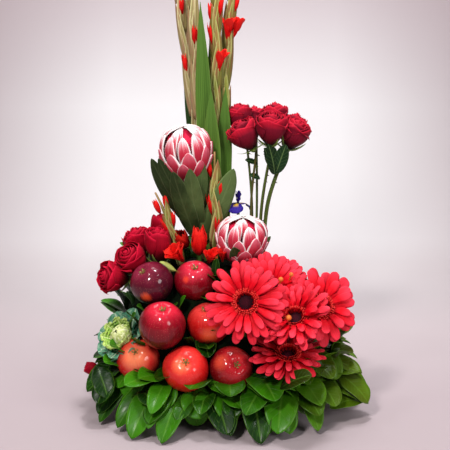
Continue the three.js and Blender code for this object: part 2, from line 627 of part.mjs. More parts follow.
// Moves the base of a leaf inside the mound, above the basket's rim
function rooted([x, y, z]) {
  const level = Math.max(z, BASKET.height + 8);
  const section = moundSection(level);
  const [dx, dy] = [x - section.x, y - section.y];
  const reach = Math.hypot(dx / (section.across - LEAF.inset), dy / (section.deep - LEAF.inset));
  const share = 1 / Math.max(1, reach);
  return [section.x + dx * share, section.y + dy * share, level];
}

// Foliage: the mound with every leaf of the collar, the back and the gaps fused on
function foliage() {
  const leaves = [...FRONT_LEAVES, ...GAP_LEAVES].map(([base, ...rest]) => [rooted(base), ...rest]);
  for (const { z, count, from, to, pitch } of LEAF_RINGS) {
    for (let i = 0; i < count; i++) {
      const heading = THREE.MathUtils.lerp(from, to, (i + 0.3 * uneven(i, z)) / (count - 1));
      leaves.push(ringLeaf(z, heading, pitch, leaves.length));
    }
  }
  const shown = FRONT_LEAVES.length;
  const solids = leaves.map(([base, tip, width, upper = [0, -0.45, 1]], i) => {
    const rows = i < shown ? [0, 0.45, 0.8, 1] : [0, 0.6, 1];
    return solid(blade(base, tip, width, { bend: -34, fold: 0.2, upper, rows }));
  });
  return joined([moundCore(), ...solids]);
}

// Each kind of piece in the order in which it keeps its full shape: a later one is cut clear of it
const kinds = [
  { name: "basket", make: basket, colour: COLOUR.wicker, roughness: 0.8 },
  { name: "apple", items: APPLES, make: apple, colour: COLOUR.apple, roughness: 0.2 },
  { name: "gerbera", items: GERBERAS, make: gerbera, colour: COLOUR.gerbera, roughness: 0.6 },
  { name: "protea_head", items: PROTEAS, make: proteaHead, colour: COLOUR.protea, roughness: 0.7 },
  { name: "tall_rose", items: TALL_ROSES, make: tallRose, colour: COLOUR.rose, roughness: 0.6 },
  { name: "low_rose", items: LOW_ROSES, make: rose, colour: COLOUR.rose, roughness: 0.6 },
  { name: "gladiolus", items: SPIKES, make: spike, colour: COLOUR.spike, roughness: 0.6 },
  { name: "sword_leaf", items: SWORDS, make: sword, colour: COLOUR.sword, roughness: 0.5 },
  { name: "protea_stem", items: PROTEAS, make: proteaStem, colour: COLOUR.proteaLeaf, roughness: 0.6 },
  { name: "iris", items: [IRIS], make: iris, colour: COLOUR.iris, roughness: 0.6 },
  { name: "floret", items: FLORETS, make: floret, colour: COLOUR.floret, roughness: 0.6 },
  { name: "lime_bud", items: [LIME_BUD], make: bud, colour: COLOUR.limeBud, roughness: 0.5 },
  { name: "orange_bud", items: ORANGE_BUDS, make: orangeBud, colour: COLOUR.orangeBud, roughness: 0.5 },
  { name: "kale", items: [KALE], make: kale, colour: COLOUR.kale, roughness: 0.6 },
  { name: "foliage", make: foliage, colour: COLOUR.leaf, roughness: 0.4 },
];

// Cuts a piece clear of its grown neighbours and keeps its largest body
function cutClear(piece, neighbours) {
  const near = neighbours.filter((other) => !piece.intersect(other).isEmpty());
  const cut = near.reduce((rest, other) => rest.subtract(other), piece);
  const bodies = cut.simplify(MERGE).decompose();
  return bodies.reduce((largest, body) => (body.volume() > largest.volume() ? body : largest));
}

function meshOf(body, name, kind) {
  const { vertProperties, triVerts } = body.getMesh();
  const geometry = new THREE.BufferGeometry();
  geometry.setAttribute("position", new THREE.BufferAttribute(vertProperties, 3));
  geometry.setIndex(new THREE.BufferAttribute(triVerts, 1));
  const box = new THREE.Box3().setFromBufferAttribute(geometry.getAttribute("position"));
  const centre = box.getCenter(new THREE.Vector3());
  geometry.translate(-centre.x, -centre.y, -centre.z).computeVertexNormals();
  const { colour: color, roughness } = kind;
  const mesh = new THREE.Mesh(geometry, new THREE.MeshStandardMaterial({ color, roughness, metalness: 0 }));
  mesh.name = name;
  mesh.position.copy(centre);
  return mesh;
}

const arrangement = new THREE.Group();
const grown = [];
for (const kind of kinds) {
  const bunch = new THREE.Group();
  const items = kind.items ?? [null];
  items.forEach((item, i) => {
    const make = (grow) => (item ? kind.make(item, i, grow) : kind.make(grow));
    const name = items.length > 1 ? `${kind.name}_${i + 1}` : kind.name;
    bunch.add(meshOf(cutClear(make(0), grown), name, kind));
    grown.push(make(GAP));
  });
  arrangement.add(bunch);
}

export default arrangement;
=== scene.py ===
"""Looks for an arrangement of red apples and cut flowers on a leafy mound in a low basket.

All lengths are metres, +Z is up and the front of the arrangement faces -Y. The origin is the centre of
the basket's underside, and every placement repeats that of the solids.
"""

import logging
import math
from dataclasses import dataclass
from enum import Enum
from typing import Sequence

import bpy
import numpy as np
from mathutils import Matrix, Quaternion, Vector

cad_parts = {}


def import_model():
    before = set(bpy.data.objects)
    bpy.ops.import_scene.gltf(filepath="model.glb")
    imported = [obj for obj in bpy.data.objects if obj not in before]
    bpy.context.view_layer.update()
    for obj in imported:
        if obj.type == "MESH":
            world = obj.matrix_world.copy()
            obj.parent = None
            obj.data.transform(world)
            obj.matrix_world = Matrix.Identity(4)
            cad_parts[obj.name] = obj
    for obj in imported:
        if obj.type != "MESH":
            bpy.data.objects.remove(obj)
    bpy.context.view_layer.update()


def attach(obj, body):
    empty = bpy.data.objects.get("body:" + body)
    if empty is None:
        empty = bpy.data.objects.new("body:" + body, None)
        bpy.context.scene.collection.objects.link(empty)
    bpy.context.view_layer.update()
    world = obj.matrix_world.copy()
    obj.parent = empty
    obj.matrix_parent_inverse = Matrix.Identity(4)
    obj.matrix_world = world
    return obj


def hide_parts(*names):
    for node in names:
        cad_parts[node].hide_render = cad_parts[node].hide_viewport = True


Point = tuple[float, float, float]
Leaf = tuple[Point, Point, float]
Grid = np.ndarray
Socket = bpy.types.NodeSocket

BODY = "root"
UP = Vector((0.0, 0.0, 1.0))
GOLDEN_ANGLE = math.radians(137.508)
LOG = logging.getLogger("arrangement")


def uneven(number: float, kind: float) -> float:
    """Returns a repeatable unevenness between -1 and 1 for a copy's number and a kind of change."""
    return math.sin(number * 12.9898 + kind * 78.233)


def unit(vectors: Grid) -> Grid:
    """Returns vectors at length 1."""
    return vectors / np.maximum(np.linalg.norm(vectors, axis=-1, keepdims=True), 1e-12)


def eased(values: Grid, low: float, high: float) -> Grid:
    """Returns a smooth step of values from 0 at low to 1 at high."""
    t = np.clip((values - low) / (high - low), 0.0, 1.0)
    return t * t * (3.0 - 2.0 * t)


def curve(points: Sequence[Point], steps: int) -> Grid:
    """Draws a smooth curve through points.

    Args:
        points: The points that the curve passes through, two or more.
        steps: How many pieces each stretch between two points is cut into.

    Returns:
        The curve's points, one row each.
    """
    route = np.array(points, dtype=float)
    ends = np.vstack([2 * route[0] - route[1], route, 2 * route[-1] - route[-2]])
    rows = []
    for i in range(len(route) - 1):
        a, b, c, d = ends[i:i + 4]
        t = np.linspace(0.0, 1.0, steps, endpoint=False)[:, None]
        rows.append(0.5 * (2 * b + (c - a) * t + (2 * a - 5 * b + 4 * c - d) * t ** 2
                           + (3 * b - a - 3 * c + d) * t ** 3))
    rows.append(route[-1:])
    return np.vstack(rows)


@dataclass(frozen=True)
class Pose:
    """Carries points from a flower's own axes, +Z out of its face, to its place."""

    place: Point
    facing: Point
    spin: float = 0.0

    def carry(self, points: Grid) -> Grid:
        """Returns points of the flower's own axes where they stand in the arrangement."""
        turn = UP.rotation_difference(Vector(self.facing).normalized())
        turn = turn @ Quaternion(UP, math.radians(self.spin))
        return points @ np.array(turn.to_matrix()).T + np.array(self.place)


class Outline(Enum):
    """The shapes that leaves, petals and bracts are cut to."""

    LEAF = "widest at its middle, drawn out to a point"
    OVAL = "broad and round, with a short tip"
    BRACT = "broad, with a tip like a pointed arch"
    STRAP = "nearly parallel sides and a round tip"
    FAN = "narrow foot and a broad round end"
    SWORD = "long parallel sides and a long tip"
    SHEATH = "broad foot, drawn out to a point"
    SPINDLE = "even curve to a point at both ends"

    def share(self, t: Grid) -> Grid:
        """Returns the half width at shares t of the length, as a share of the greatest half width."""
        if self is Outline.LEAF:
            body = np.sin(np.pi * np.clip(t, 0, 1) ** 0.82) ** 0.78
            return np.maximum(0.03, body * (1 - 0.35 * eased(t, 0.72, 1.0)))
        if self is Outline.OVAL:
            body = np.sin(np.pi * np.clip(t, 0, 1) ** 1.06) ** 0.50
            return np.maximum(0.03, body * (1 - 0.20 * eased(t, 0.86, 1.0)))
        if self is Outline.BRACT:
            past = np.maximum(0.0, (t - 0.5) / 0.5)
            return np.maximum(0.04, np.minimum(1.0, 0.5 + 1.1 * t) * (1 - past ** 2) ** 0.72)
        if self is Outline.STRAP:
            return np.minimum(1.0, 0.26 + 1.15 * t) * np.sqrt(np.maximum(0.02, 1 - t ** 11))
        if self is Outline.FAN:
            return np.minimum(1.0, 0.14 + 1.3 * t) * np.sqrt(np.maximum(0.1, 1 - t ** 7))
        if self is Outline.SWORD:
            past = np.maximum(0.0, (t - 0.66) / 0.34)
            return np.maximum(0.02, np.minimum(1.0, 0.62 + t) * (1 - past ** 1.6))
        if self is Outline.SHEATH:
            past = np.maximum(0.0, (t - 0.30) / 0.70)
            return np.maximum(0.03, np.minimum(1.0, 0.80 + 1.2 * t) * (1 - past ** 1.7))
        return np.maximum(0.05, np.sin(np.pi * t ** 0.9))


@dataclass(frozen=True)
class Blade:
    """A thin curved sheet from a base to a tip.

    bend is its curl in degrees along its length, twist its turn in degrees about its length, fold and
    cup lift its edges as a share of its half width, wave is the height of the ripple along its edges,
    ribs the number of its ridges and ridge their height. upper is the side that its face is turned to.
    """

    base: Point
    tip: Point
    width: float
    outline: Outline = Outline.LEAF
    bend: float = 0.0
    twist: float = 0.0
    fold: float = 0.0
    cup: float = 0.0
    wave: float = 0.0
    ripples: float = 14.0
    phase: float = 0.0
    ribs: int = 0
    ridge: float = 0.0
    upper: Point = (0.0, 0.0, 1.0)

    def grid(self, rows: int, columns: int) -> Grid:
        """Lays out the middle surface of the sheet.

        Args:
            rows: Points along its length, closer together towards the tip.
            columns: Points across its width.

        Returns:
            Points in rows and columns.
        """
        t = 1 - (1 - np.linspace(0.0, 1.0, rows)[:, None]) ** 1.35
        s = np.linspace(-1.0, 1.0, columns)[None, :]
        base = np.array(self.base, dtype=float)
        chord = np.array(self.tip, dtype=float) - base
        length = np.linalg.norm(chord)
        along = chord / length
        across = unit(np.cross(self.upper, along))
        normal = np.cross(along, across)
        curl = math.radians(self.bend) or 1e-4
        stretch = length / math.sin(curl / 2) / 2
        turn = curl * (t - 0.5)
        reach = stretch * (np.sin(turn) + math.sin(curl / 2))
        rise = stretch * (math.cos(curl / 2) - np.cos(turn))
        half = self.width / 2 * self.outline.share(t)
        middle = np.minimum(1.0, 5 * t * (1 - t) + 0.3 * t)
        lift = (self.fold * np.abs(s) + self.cup * s ** 2) * half
        lift = lift + self.wave * np.sin(self.ripples * t + 2 * s + self.phase) * np.abs(s) ** 1.5 * middle
        if self.ribs:
            lift = lift + self.ridge * np.cos(math.pi * self.ribs * s) * middle
        roll = math.radians(self.twist) * (t - 0.5)
        outward = normal * np.cos(turn)[..., None] - along * np.sin(turn)[..., None]
        side = across * np.cos(roll)[..., None] + outward * np.sin(roll)[..., None]
        out = outward * np.cos(roll)[..., None] - across * np.sin(roll)[..., None]
        spine = base + along * reach[..., None] + normal * rise[..., None]
        return spine + side * (s * half)[..., None] + out * lift[..., None]


class Form:
    """A mesh in the making: closed sheets, rods and turned forms, with the marks that finishes read.

    The marks of a point are along (0 at the base of its sheet, 1 at the tip), across (-1 to 1 from edge
    to edge), tint (one value for each sheet), a mark of painted shade (0 in the open, 1 deep inside among
    other parts; protea bracts use it instead for how far white down covers them, and the iris for which
    petals bear the yellow blotch) and grain, a place on the sheet for patterns.
    """

    def __init__(self) -> None:
        """Starts with nothing."""
        self.points: list[Grid] = []
        self.faces: list[list[int]] = []
        self.smooth: list[bool] = []
        self.marks: list[Grid] = []
        self.total = 0

    def _add(self, points: Grid, faces: Grid, smooth: Grid, marks: Grid) -> None:
        """Adds points, the faces between them, whether each face is smooth, and the points' marks."""
        self.faces += (faces + self.total).tolist()
        self.smooth += smooth.tolist()
        self.points.append(points.reshape(-1, 3))
        self.marks.append(marks.reshape(-1, 7))
        self.total += len(self.points[-1])

    @staticmethod
    def _sheet_faces(rows: int, columns: int) -> tuple[Grid, int]:
        """Returns the faces of a sheet of two like grids, and how many of them aren't its edge."""
        index = np.arange(rows * columns).reshape(rows, columns)
        a, b = index[:-1, :-1].ravel(), index[:-1, 1:].ravel()
        c, d = index[1:, 1:].ravel(), index[1:, :-1].ravel()
        low = rows * columns
        upper = np.stack([a, d, c, b], axis=1)
        lower = upper[:, ::-1] + low
        rim = np.concatenate([index[0], index[1:, -1], index[-1, -2::-1], index[-2:0:-1, 0]])
        after = np.roll(rim, -1)
        edge = np.stack([rim, after, after + low, rim + low], axis=1)
        return np.vstack([upper, lower, edge]), 2 * len(upper)

    def sheet(self, grid: Grid, thickness: float, tint: float = 0.0, depth: float | Grid = 0.0,
              pose: Pose | None = None, swell: float = 0.0) -> None:
        """Adds a closed thin sheet.

        Args:
            grid: Its middle surface, in rows from base to tip and columns from edge to edge.
            thickness: Its thickness at the middle. It thins to a quarter at the edges.
            tint: The mark that tells it from its neighbours.
            depth: The depth mark of all its points, or of each.
            pose: Where it is carried.
            swell: How much thicker its middle is, as for a closed bud.
        """
        rows, columns = grid.shape[:2]
        if pose:
            grid = pose.carry(grid)
        normal = np.cross(np.gradient(grid, axis=0), np.gradient(grid, axis=1))
        normal[0], normal[-1] = normal[1], normal[-2]
        normal = unit(normal)
        steps = np.linalg.norm(np.diff(grid[:, columns // 2], axis=0), axis=-1)
        t = np.concatenate([[0.0], np.cumsum(steps)])[:, None] / np.sum(steps)
        s = np.linspace(-1.0, 1.0, columns)[None, :]
        half = thickness / 2 * (1 - 0.75 * np.abs(s) ** 4) * (1 - 0.5 * t ** 6)
        half = half + swell / 2 * (1 - s ** 2) * np.sqrt(np.maximum(0.0, np.sin(np.pi * t)))
        offset = normal * half[..., None]
        marks = np.empty((rows, columns, 7))
        marks[..., 0] = t
        marks[..., 1] = s
        marks[..., 2] = tint
        marks[..., 3] = depth
        marks[..., 4] = s
        marks[..., 5] = t
        marks[..., 6] = tint * 7.0
        faces, flat_from = self._sheet_faces(rows, columns)
        smooth = np.arange(len(faces)) < flat_from
        self._add(np.stack([grid + offset, grid - offset]), faces, smooth, np.stack([marks, marks]))

    def ring_form(self, rings: Grid, tint: float = 0.0, depth: float | Grid = 0.0,
                  pose: Pose | None = None) -> None:
        """Adds a closed round form.

        Args:
            rings: Its rings of points, from one end to the other.
            tint: The mark that tells it from its neighbours.
            depth: The depth mark of all its points, or one row of them for each ring.
            pose: Where it is carried.
        """
        rows, sides = rings.shape[:2]
        index = np.arange(rows * sides).reshape(rows, sides)
        after = np.roll(index, -1, axis=1)
        faces = np.stack([index[:-1], after[:-1], after[1:], index[1:]], axis=-1).reshape(-1, 4)
        angle = np.linspace(0.0, 2 * math.pi, sides, endpoint=False)[None, :]
        t = np.linspace(0.0, 1.0, rows)[:, None]
        marks = np.empty((rows, sides, 7))
        marks[..., 0] = t
        marks[..., 1] = np.cos(angle)
        marks[..., 2] = tint
        marks[..., 3] = depth
        marks[..., 4] = np.cos(angle)
        marks[..., 5] = np.sin(angle)
        marks[..., 6] = t * 0.5 + tint * 7.0
        self._add(pose.carry(rings) if pose else rings, faces, np.full(len(faces), True), marks)
        first = self.total - rows * sides
        self.faces += [(first + index[0, ::-1]).tolist(), (first + index[-1]).tolist()]
        self.smooth += [False, False]

    def turned(self, profile: Sequence[tuple[float, float]], sides: int, tint: float = 0.0,
               depth: float = 0.0, pose: Pose | None = None) -> None:
        """Adds a form turned about +Z from rows of radius and height.

        Args:
            profile: The radius and height of each ring, from the bottom up.
            sides: Points round each ring.
            tint: The mark that tells it from its neighbours.
            depth: The depth mark.
            pose: Where it is carried.
        """
        radius, height = np.array(profile).T
        angle = np.linspace(0.0, 2 * math.pi, sides, endpoint=False)
        rings = np.stack([
            radius[:, None] * np.cos(angle),
            radius[:, None] * np.sin(angle),
            np.repeat(height[:, None], sides, axis=1),
        ], axis=-1)
        self.ring_form(rings, tint, depth, pose)

    def rod(self, path: Grid, radii: float | Sequence[float], sides: int = 8, tint: float = 0.0,
            depth: float = 0.0, pose: Pose | None = None) -> None:
        """Adds a rod along a path.

        Args:
            path: The points of its middle line.
            radii: Its radius, or its radii at even steps along the path.
            sides: Points round it.
            tint: The mark that tells it from its neighbours.
            depth: The depth mark.
            pose: Where it is carried.
        """
        steps = np.linspace(0.0, 1.0, len(path))
        given = np.atleast_1d(np.array(radii, dtype=float))
        radius = np.interp(steps, np.linspace(0.0, 1.0, len(given)), given)
        along = unit(np.gradient(path, axis=0))
        helper = np.array([1.0, 0.0, 0.0]) if abs(along[0][0]) < 0.8 else np.array([0.0, 1.0, 0.0])
        side = unit(np.cross(along[0], helper))
        rings = []
        angle = np.linspace(0.0, 2 * math.pi, sides, endpoint=False)[:, None]
        for middle, direction, size in zip(path, along, radius):
            side = unit(side - direction * np.dot(side, direction))
            other = np.cross(direction, side)
            rings.append(middle + size * (np.cos(angle) * side + np.sin(angle) * other))
        self.ring_form(np.array(rings), tint, depth, pose)

    def piece(self, name: str, finish: "Finish", *nodes: str) -> bpy.types.Object:
        """Makes the mesh, dresses it and gives it its place in the frame.

        Args:
            name: The piece's name.
            finish: What it is made of.
            nodes: The solids that it stands for.

        Returns:
            The new object.
        """
        mesh = bpy.data.meshes.new(name)
        mesh.from_pydata(np.vstack(self.points).tolist(), [], self.faces)
        mesh.polygons.foreach_set("use_smooth", self.smooth)
        marks = np.vstack(self.marks)
        for column, mark in enumerate(("along", "across", "tint", "depth")):
            values = mesh.attributes.new(mark, "FLOAT", "POINT")
            values.data.foreach_set("value", np.ascontiguousarray(marks[:, column], dtype=np.float32))
        grain = mesh.attributes.new("grain", "FLOAT_VECTOR", "POINT")
        grain.data.foreach_set("vector", np.ascontiguousarray(marks[:, 4:], dtype=np.float32).ravel())
        mesh.materials.append(finish.material())
        thing = bpy.data.objects.new(name, mesh)
        bpy.context.collection.objects.link(thing)
        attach(thing, BODY)
        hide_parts(*nodes)
        LOG.info("%s: %d faces, for %s", name, len(self.faces), ", ".join(nodes))
        return thing


def colour(code: str) -> tuple[float, float, float, float]:
    """Returns the shader colour of a web colour code such as 2f6b1c."""
    shares = [int(code[i:i + 2], 16) / 255 for i in (0, 2, 4)]
    linear = [v / 12.92 if v <= 0.04045 else ((v + 0.055) / 1.055) ** 2.4 for v in shares]
    return (*linear, 1.0)


class Recipe:
    """The nodes of one material, added in the order of making."""

    def __init__(self, name: str, **constants: float) -> None:
        """Starts a material with a shader's constant values.

        Args:
            name: The material's name.
            constants: Values of the shader's sockets, with _ for a space.
        """
        self.material = bpy.data.materials.new(name)
        self.material.use_nodes = True
        self.tree = self.material.node_tree
        self.shader = self.tree.nodes["Principled BSDF"]
        for socket, value in constants.items():
            self.shader.inputs[socket.replace("_", " ")].default_value = value

    def _node(self, kind: str, inputs: dict[str | int, Socket | object]) -> bpy.types.Node:
        """Adds a node and sets or links its inputs."""
        node = self.tree.nodes.new(kind)
        for key, value in inputs.items():
            if isinstance(value, bpy.types.NodeSocket):
                self.tree.links.new(value, node.inputs[key])
            else:
                node.inputs[key].default_value = value
        return node

    def mark(self, name: str) -> Socket:
        """Returns the value of a mark."""
        node = self._node("ShaderNodeAttribute", {})
        node.attribute_name = name
        return node.outputs["Fac"]

    def grain(self, scale: Point = (1.0, 1.0, 1.0)) -> Socket:
        """Returns the place on the sheet, stretched by scale."""
        node = self._node("ShaderNodeAttribute", {})
        node.attribute_name = "grain"
        stretched = self._node("ShaderNodeVectorMath", {0: node.outputs["Vector"], 1: scale})
        stretched.operation = "MULTIPLY"
        return stretched.outputs[0]

    def place(self) -> Socket:
        """Returns the point's place in metres."""
        return self._node("ShaderNodeTexCoord", {}).outputs["Object"]

    def distance(self, point: Point) -> Socket:
        """Returns the distance from a point in metres."""
        node = self._node("ShaderNodeVectorMath", {0: self.place(), 1: point})
        node.operation = "DISTANCE"
        return node.outputs["Value"]

    def part(self, axis: str) -> Socket:
        """Returns the point's place along one axis in metres."""
        return self._node("ShaderNodeSeparateXYZ", {0: self.place()}).outputs[axis]

    def noise(self, vector: Socket, scale: float, detail: float = 2.0, rough: float = 0.5) -> Socket:
        """Returns a cloudy pattern between 0 and 1."""
        inputs = {"Vector": vector, "Scale": scale, "Detail": detail, "Roughness": rough}
        return self._node("ShaderNodeTexNoise", inputs).outputs["Fac"]

    def cells(self, vector: Socket, scale: float) -> Socket:
        """Returns the distance to the nearest of scattered points."""
        return self._node("ShaderNodeTexVoronoi", {"Vector": vector, "Scale": scale}).outputs["Distance"]

    def maths(self, operation: str, a: Socket | float, b: Socket | float = 0.0) -> Socket:
        """Returns the result of a sum of two values."""
        node = self._node("ShaderNodeMath", {0: a, 1: b})
        node.operation = operation
        return node.outputs[0]

    def ramp(self, value: Socket, *stops: tuple[float, str]) -> Socket:
        """Returns a colour that runs through stops of position and colour code."""
        node = self._node("ShaderNodeValToRGB", {"Fac": value})
        elements = node.color_ramp.elements
        while len(elements) < len(stops):
            elements.new(0.5)
        for element, (position, code) in zip(elements, stops):
            element.position = position
            element.color = colour(code)
        return node.outputs["Color"]

    def span(self, value: Socket, low: float, high: float, start: float = 0.0, end: float = 1.0) -> Socket:
        """Returns value moved from the span low to high into the span start to end, and kept in it."""
        inputs = {"Value": value, "From Min": low, "From Max": high, "To Min": start, "To Max": end}
        return self._node("ShaderNodeMapRange", inputs).outputs["Result"]

    def mixed(self, share: Socket | float, a: Socket, b: Socket, mode: str = "MIX") -> Socket:
        """Returns colour a with a share of colour b."""
        node = self.tree.nodes.new("ShaderNodeMix")
        node.data_type = "RGBA"
        node.blend_type = mode
        for key, value in ((0, share), (6, a), (7, b)):
            if isinstance(value, bpy.types.NodeSocket):
                self.tree.links.new(value, node.inputs[key])
            else:
                node.inputs[key].default_value = value
        return node.outputs[2]

    def tinted(self, share: Socket, base: Socket, code: str) -> Socket:
        """Returns a base colour with a share of the colour of a code."""
        return self.mixed(share, base, colour(code))

    def finish(self, base: Socket, height: Socket | None = None, relief: float = 0.0002,
               roughness: Socket | None = None) -> bpy.types.Material:
        """Links the last nodes to the shader.

        Args:
            base: The colour.
            height: The relief pattern.
            relief: The height of the relief in metres.
            roughness: The roughness, where it varies.

        Returns:
            The finished material.
        """
        self.tree.links.new(base, self.shader.inputs["Base Color"])
        if roughness:
            self.tree.links.new(roughness, self.shader.inputs["Roughness"])
        if height:
            bump = self._node("ShaderNodeBump", {"Height": height, "Strength": 0.8, "Distance": relief})
            self.tree.links.new(bump.outputs["Normal"], self.shader.inputs["Normal"])
        return self.material


@dataclass(frozen=True)
class Finish:
    """What a piece is made of, and the slot of the record that it stands for."""

    name: str
    slot: str

    def recipe(self) -> bpy.types.Material:
        """Makes the material's nodes."""
        raise NotImplementedError

    def material(self) -> bpy.types.Material:
        """Returns the material, made once."""
        return bpy.data.materials.get(self.name) or self.recipe()


@dataclass(frozen=True)
class WaxedSkin(Finish):
    """Apple skin: paler round the eye and darker towards the far side, partly its own colour and partly painted light
    and shade, with streaks, a blush, pale dots and a waxy shine.

    spot is where a patch of blush lies, and spot_size how far it reaches.
    """

    low: str = "5c0714"
    base: str = "a01018"
    eye: str = "cc2630"
    blush: str = "f0683c"
    blush_from: float = 0.60
    blush_share: float = 0.35
    spot: Point = (0.0, 0.0, 0.0)
    spot_size: float = 0.0

    def recipe(self) -> bpy.types.Material:
        """Makes the material's nodes."""
        recipe = Recipe(self.name, Roughness=0.4, Coat_Weight=0.55, Coat_Roughness=0.03,
                        Specular_IOR_Level=0.06)
        streaks = recipe.noise(recipe.grain((9.0, 9.0, 1.4)), 2.0, 5.0, 0.62)
        clouds = recipe.noise(recipe.place(), 26.0, 3.0)
        shade = recipe.maths("ADD", recipe.mark("along"), recipe.maths("MULTIPLY", clouds, 0.3))
        # The ramp is partly the skin's own colour and partly painted light and shade: lighter round the eye that faces
        # the lights, darker towards the far side.
        base = recipe.ramp(shade, (0.45, self.low), (0.82, self.base), (1.12, self.eye))
        patch = recipe.noise(recipe.place(), 13.0, 4.0)
        patch = recipe.span(patch, self.blush_from, self.blush_from + 0.14, 0.0, self.blush_share)
        base = recipe.tinted(patch, base, self.blush)
        if self.spot_size:
            away = recipe.maths("ADD", recipe.distance(self.spot), recipe.maths("MULTIPLY", streaks, 0.012))
            near = recipe.span(away, self.spot_size + 0.006, 0.3 * self.spot_size + 0.006, 0.0, 0.85)
            base = recipe.tinted(near, base, self.blush)
        base = recipe.tinted(recipe.span(streaks, 0.52, 0.74, 0.0, 0.4), base, self.eye)
        base = recipe.tinted(recipe.span(streaks, 0.44, 0.26, 0.0, 0.45), base, self.low)
        dots = recipe.cells(recipe.place(), 420.0)
        base = recipe.tinted(recipe.span(dots, 0.17, 0.07, 0.0, 0.45), base, "f0a080")
        base = recipe.tinted(recipe.span(recipe.mark("along"), 0.972, 0.995, 0.0, 0.8), base, "b0803c")
        return recipe.finish(base, recipe.noise(recipe.place(), 90.0, 3.0), 0.0002)


@dataclass(frozen=True)
class Velvet(Finish):
    """Soft petals: a colour that darkens towards the foot and where petals lie deep inside, both painted shade, and
    lightens towards the tip, with fine veins.
    """

    deep: str = "38000c"
    base: str = "900a22"
    tip: str = "c41430"
    veins: float = 26.0
    sheen: float = 0.12
    rough: float = 0.55
    spread: float = 0.5
    lip: float = 0.6

    def recipe(self) -> bpy.types.Material:
        """Makes the material's nodes."""
        recipe = Recipe(self.name, Roughness=self.rough, Sheen_Weight=self.sheen, Sheen_Roughness=0.4,
                        Specular_IOR_Level=0.08)
        shade = recipe.maths("ADD", recipe.mark("along"), recipe.maths("MULTIPLY", recipe.mark("tint"), 0.12))
        # The deep colour at the foot of each petal is painted shade.
        base = recipe.ramp(shade, (0.08, self.deep), (self.spread, self.base), (self.lip, self.base),
                           (1.0, self.tip))
        veins = recipe.noise(recipe.grain((self.veins, 1.2, 1.0)), 1.0, 3.0)
        base = recipe.tinted(recipe.span(veins, 0.45, 0.75, 0.0, 0.35), base, self.deep)
        # Painted shade: darker where petals lie deep inside the flower.
        base = recipe.tinted(recipe.mark("depth"), base, self.deep)
        return recipe.finish(base, veins, 0.0005)


@dataclass(frozen=True)
class LeafSkin(Finish):
    """A green leaf: a paler midrib and side veins, two greens in clouds, and paler edges.

    right_side is the colour that the leaves at the right turn to.
    """

    dark: str = "143c08"
    bright: str = "3f8c1c"
    rib: str = "88c048"
    rough: float = 0.3
    coat: float = 0.3
    side_veins: float = 9.0
    vein_share: float = 0.22
    rib_share: float = 0.6
    right_side: str = ""

    def recipe(self) -> bpy.types.Material:
        """Makes the material's nodes."""
        recipe = Recipe(self.name, Roughness=self.rough, Coat_Weight=self.coat, Coat_Roughness=0.2,
                        Specular_IOR_Level=0.12)
        off_rib = recipe.maths("ABSOLUTE", recipe.mark("across"))
        tint = recipe.mark("tint")
        clouds = recipe.noise(recipe.place(), 28.0, 3.0)
        shade = recipe.maths("ADD", recipe.maths("MULTIPLY", tint, 0.36), clouds)
        base = recipe.ramp(shade, (0.25, self.dark), (0.78, self.bright))
        if self.right_side:
            base = recipe.tinted(recipe.span(recipe.part("X"), 0.08, 0.20, 0.0, 0.4), base, self.right_side)
        slant = recipe.maths("SUBTRACT", recipe.mark("along"), recipe.maths("MULTIPLY", off_rib, 0.22))
        wave = recipe.maths("SINE", recipe.maths("MULTIPLY", slant, self.side_veins * 2 * math.pi))
        side = recipe.span(wave, 0.86, 1.0)
        base = recipe.tinted(recipe.maths("MULTIPLY", side, self.vein_share), base, self.rib)
        rib = recipe.span(off_rib, 0.11, 0.03)
        base = recipe.tinted(recipe.maths("MULTIPLY", rib, self.rib_share), base, self.rib)
        base = recipe.tinted(recipe.span(off_rib, 0.92, 1.0, 0.0, 0.4), base, self.rib)
        # Painted shade: near-black where a leaf lies deep among others.
        base = recipe.tinted(recipe.mark("depth"), base, "061203")
        height = recipe.maths("SUBTRACT", recipe.maths("MULTIPLY", clouds, 0.5),
                              recipe.maths("ADD", side, rib))
        return recipe.finish(base, height, 0.0003)


@dataclass(frozen=True)
class Striped(Finish):
    """Sheaths, sword leaves and stems: fine stripes along their length."""

    dark: str = "3a6a1e"
    bright: str = "6a9c3c"
    edge: str = "8a6038"
    tip: str = "7a9a3c"
    stripes: float = 30.0
    rough: float = 0.45
    edge_share: float = 0.4
    patch: str = ""

    def recipe(self) -> bpy.types.Material:
        """Makes the material's nodes."""
        recipe = Recipe(self.name, Roughness=self.rough, Specular_IOR_Level=0.15)
        stripes = recipe.noise(recipe.grain((self.stripes, 1.0, 1.0)), 1.0, 4.0, 0.6)
        base = recipe.ramp(stripes, (0.32, self.dark), (0.68, self.bright))
        clouds = recipe.noise(recipe.place(), 16.0, 3.0)
        if self.patch:
            blotches = recipe.noise(recipe.grain((0.9, 2.4, 1.0)), 1.0, 2.0)
            base = recipe.tinted(recipe.span(blotches, 0.44, 0.62, 0.0, 0.8), base, self.patch)
        off_middle = recipe.maths("ABSOLUTE", recipe.mark("across"))
        edge = recipe.span(recipe.maths("ADD", off_middle, recipe.maths("MULTIPLY", clouds, 0.3)), 0.92, 1.10)
        base = recipe.tinted(recipe.maths("MULTIPLY", edge, self.edge_share), base, self.edge)
        base = recipe.tinted(recipe.span(recipe.mark("along"), 0.7, 1.0, 0.0, 0.7), base, self.tip)
        # Painted shade: darker where a piece lies deep among others.
        base = recipe.tinted(recipe.mark("depth"), base, self.dark)
        return recipe.finish(base, stripes, 0.0002)


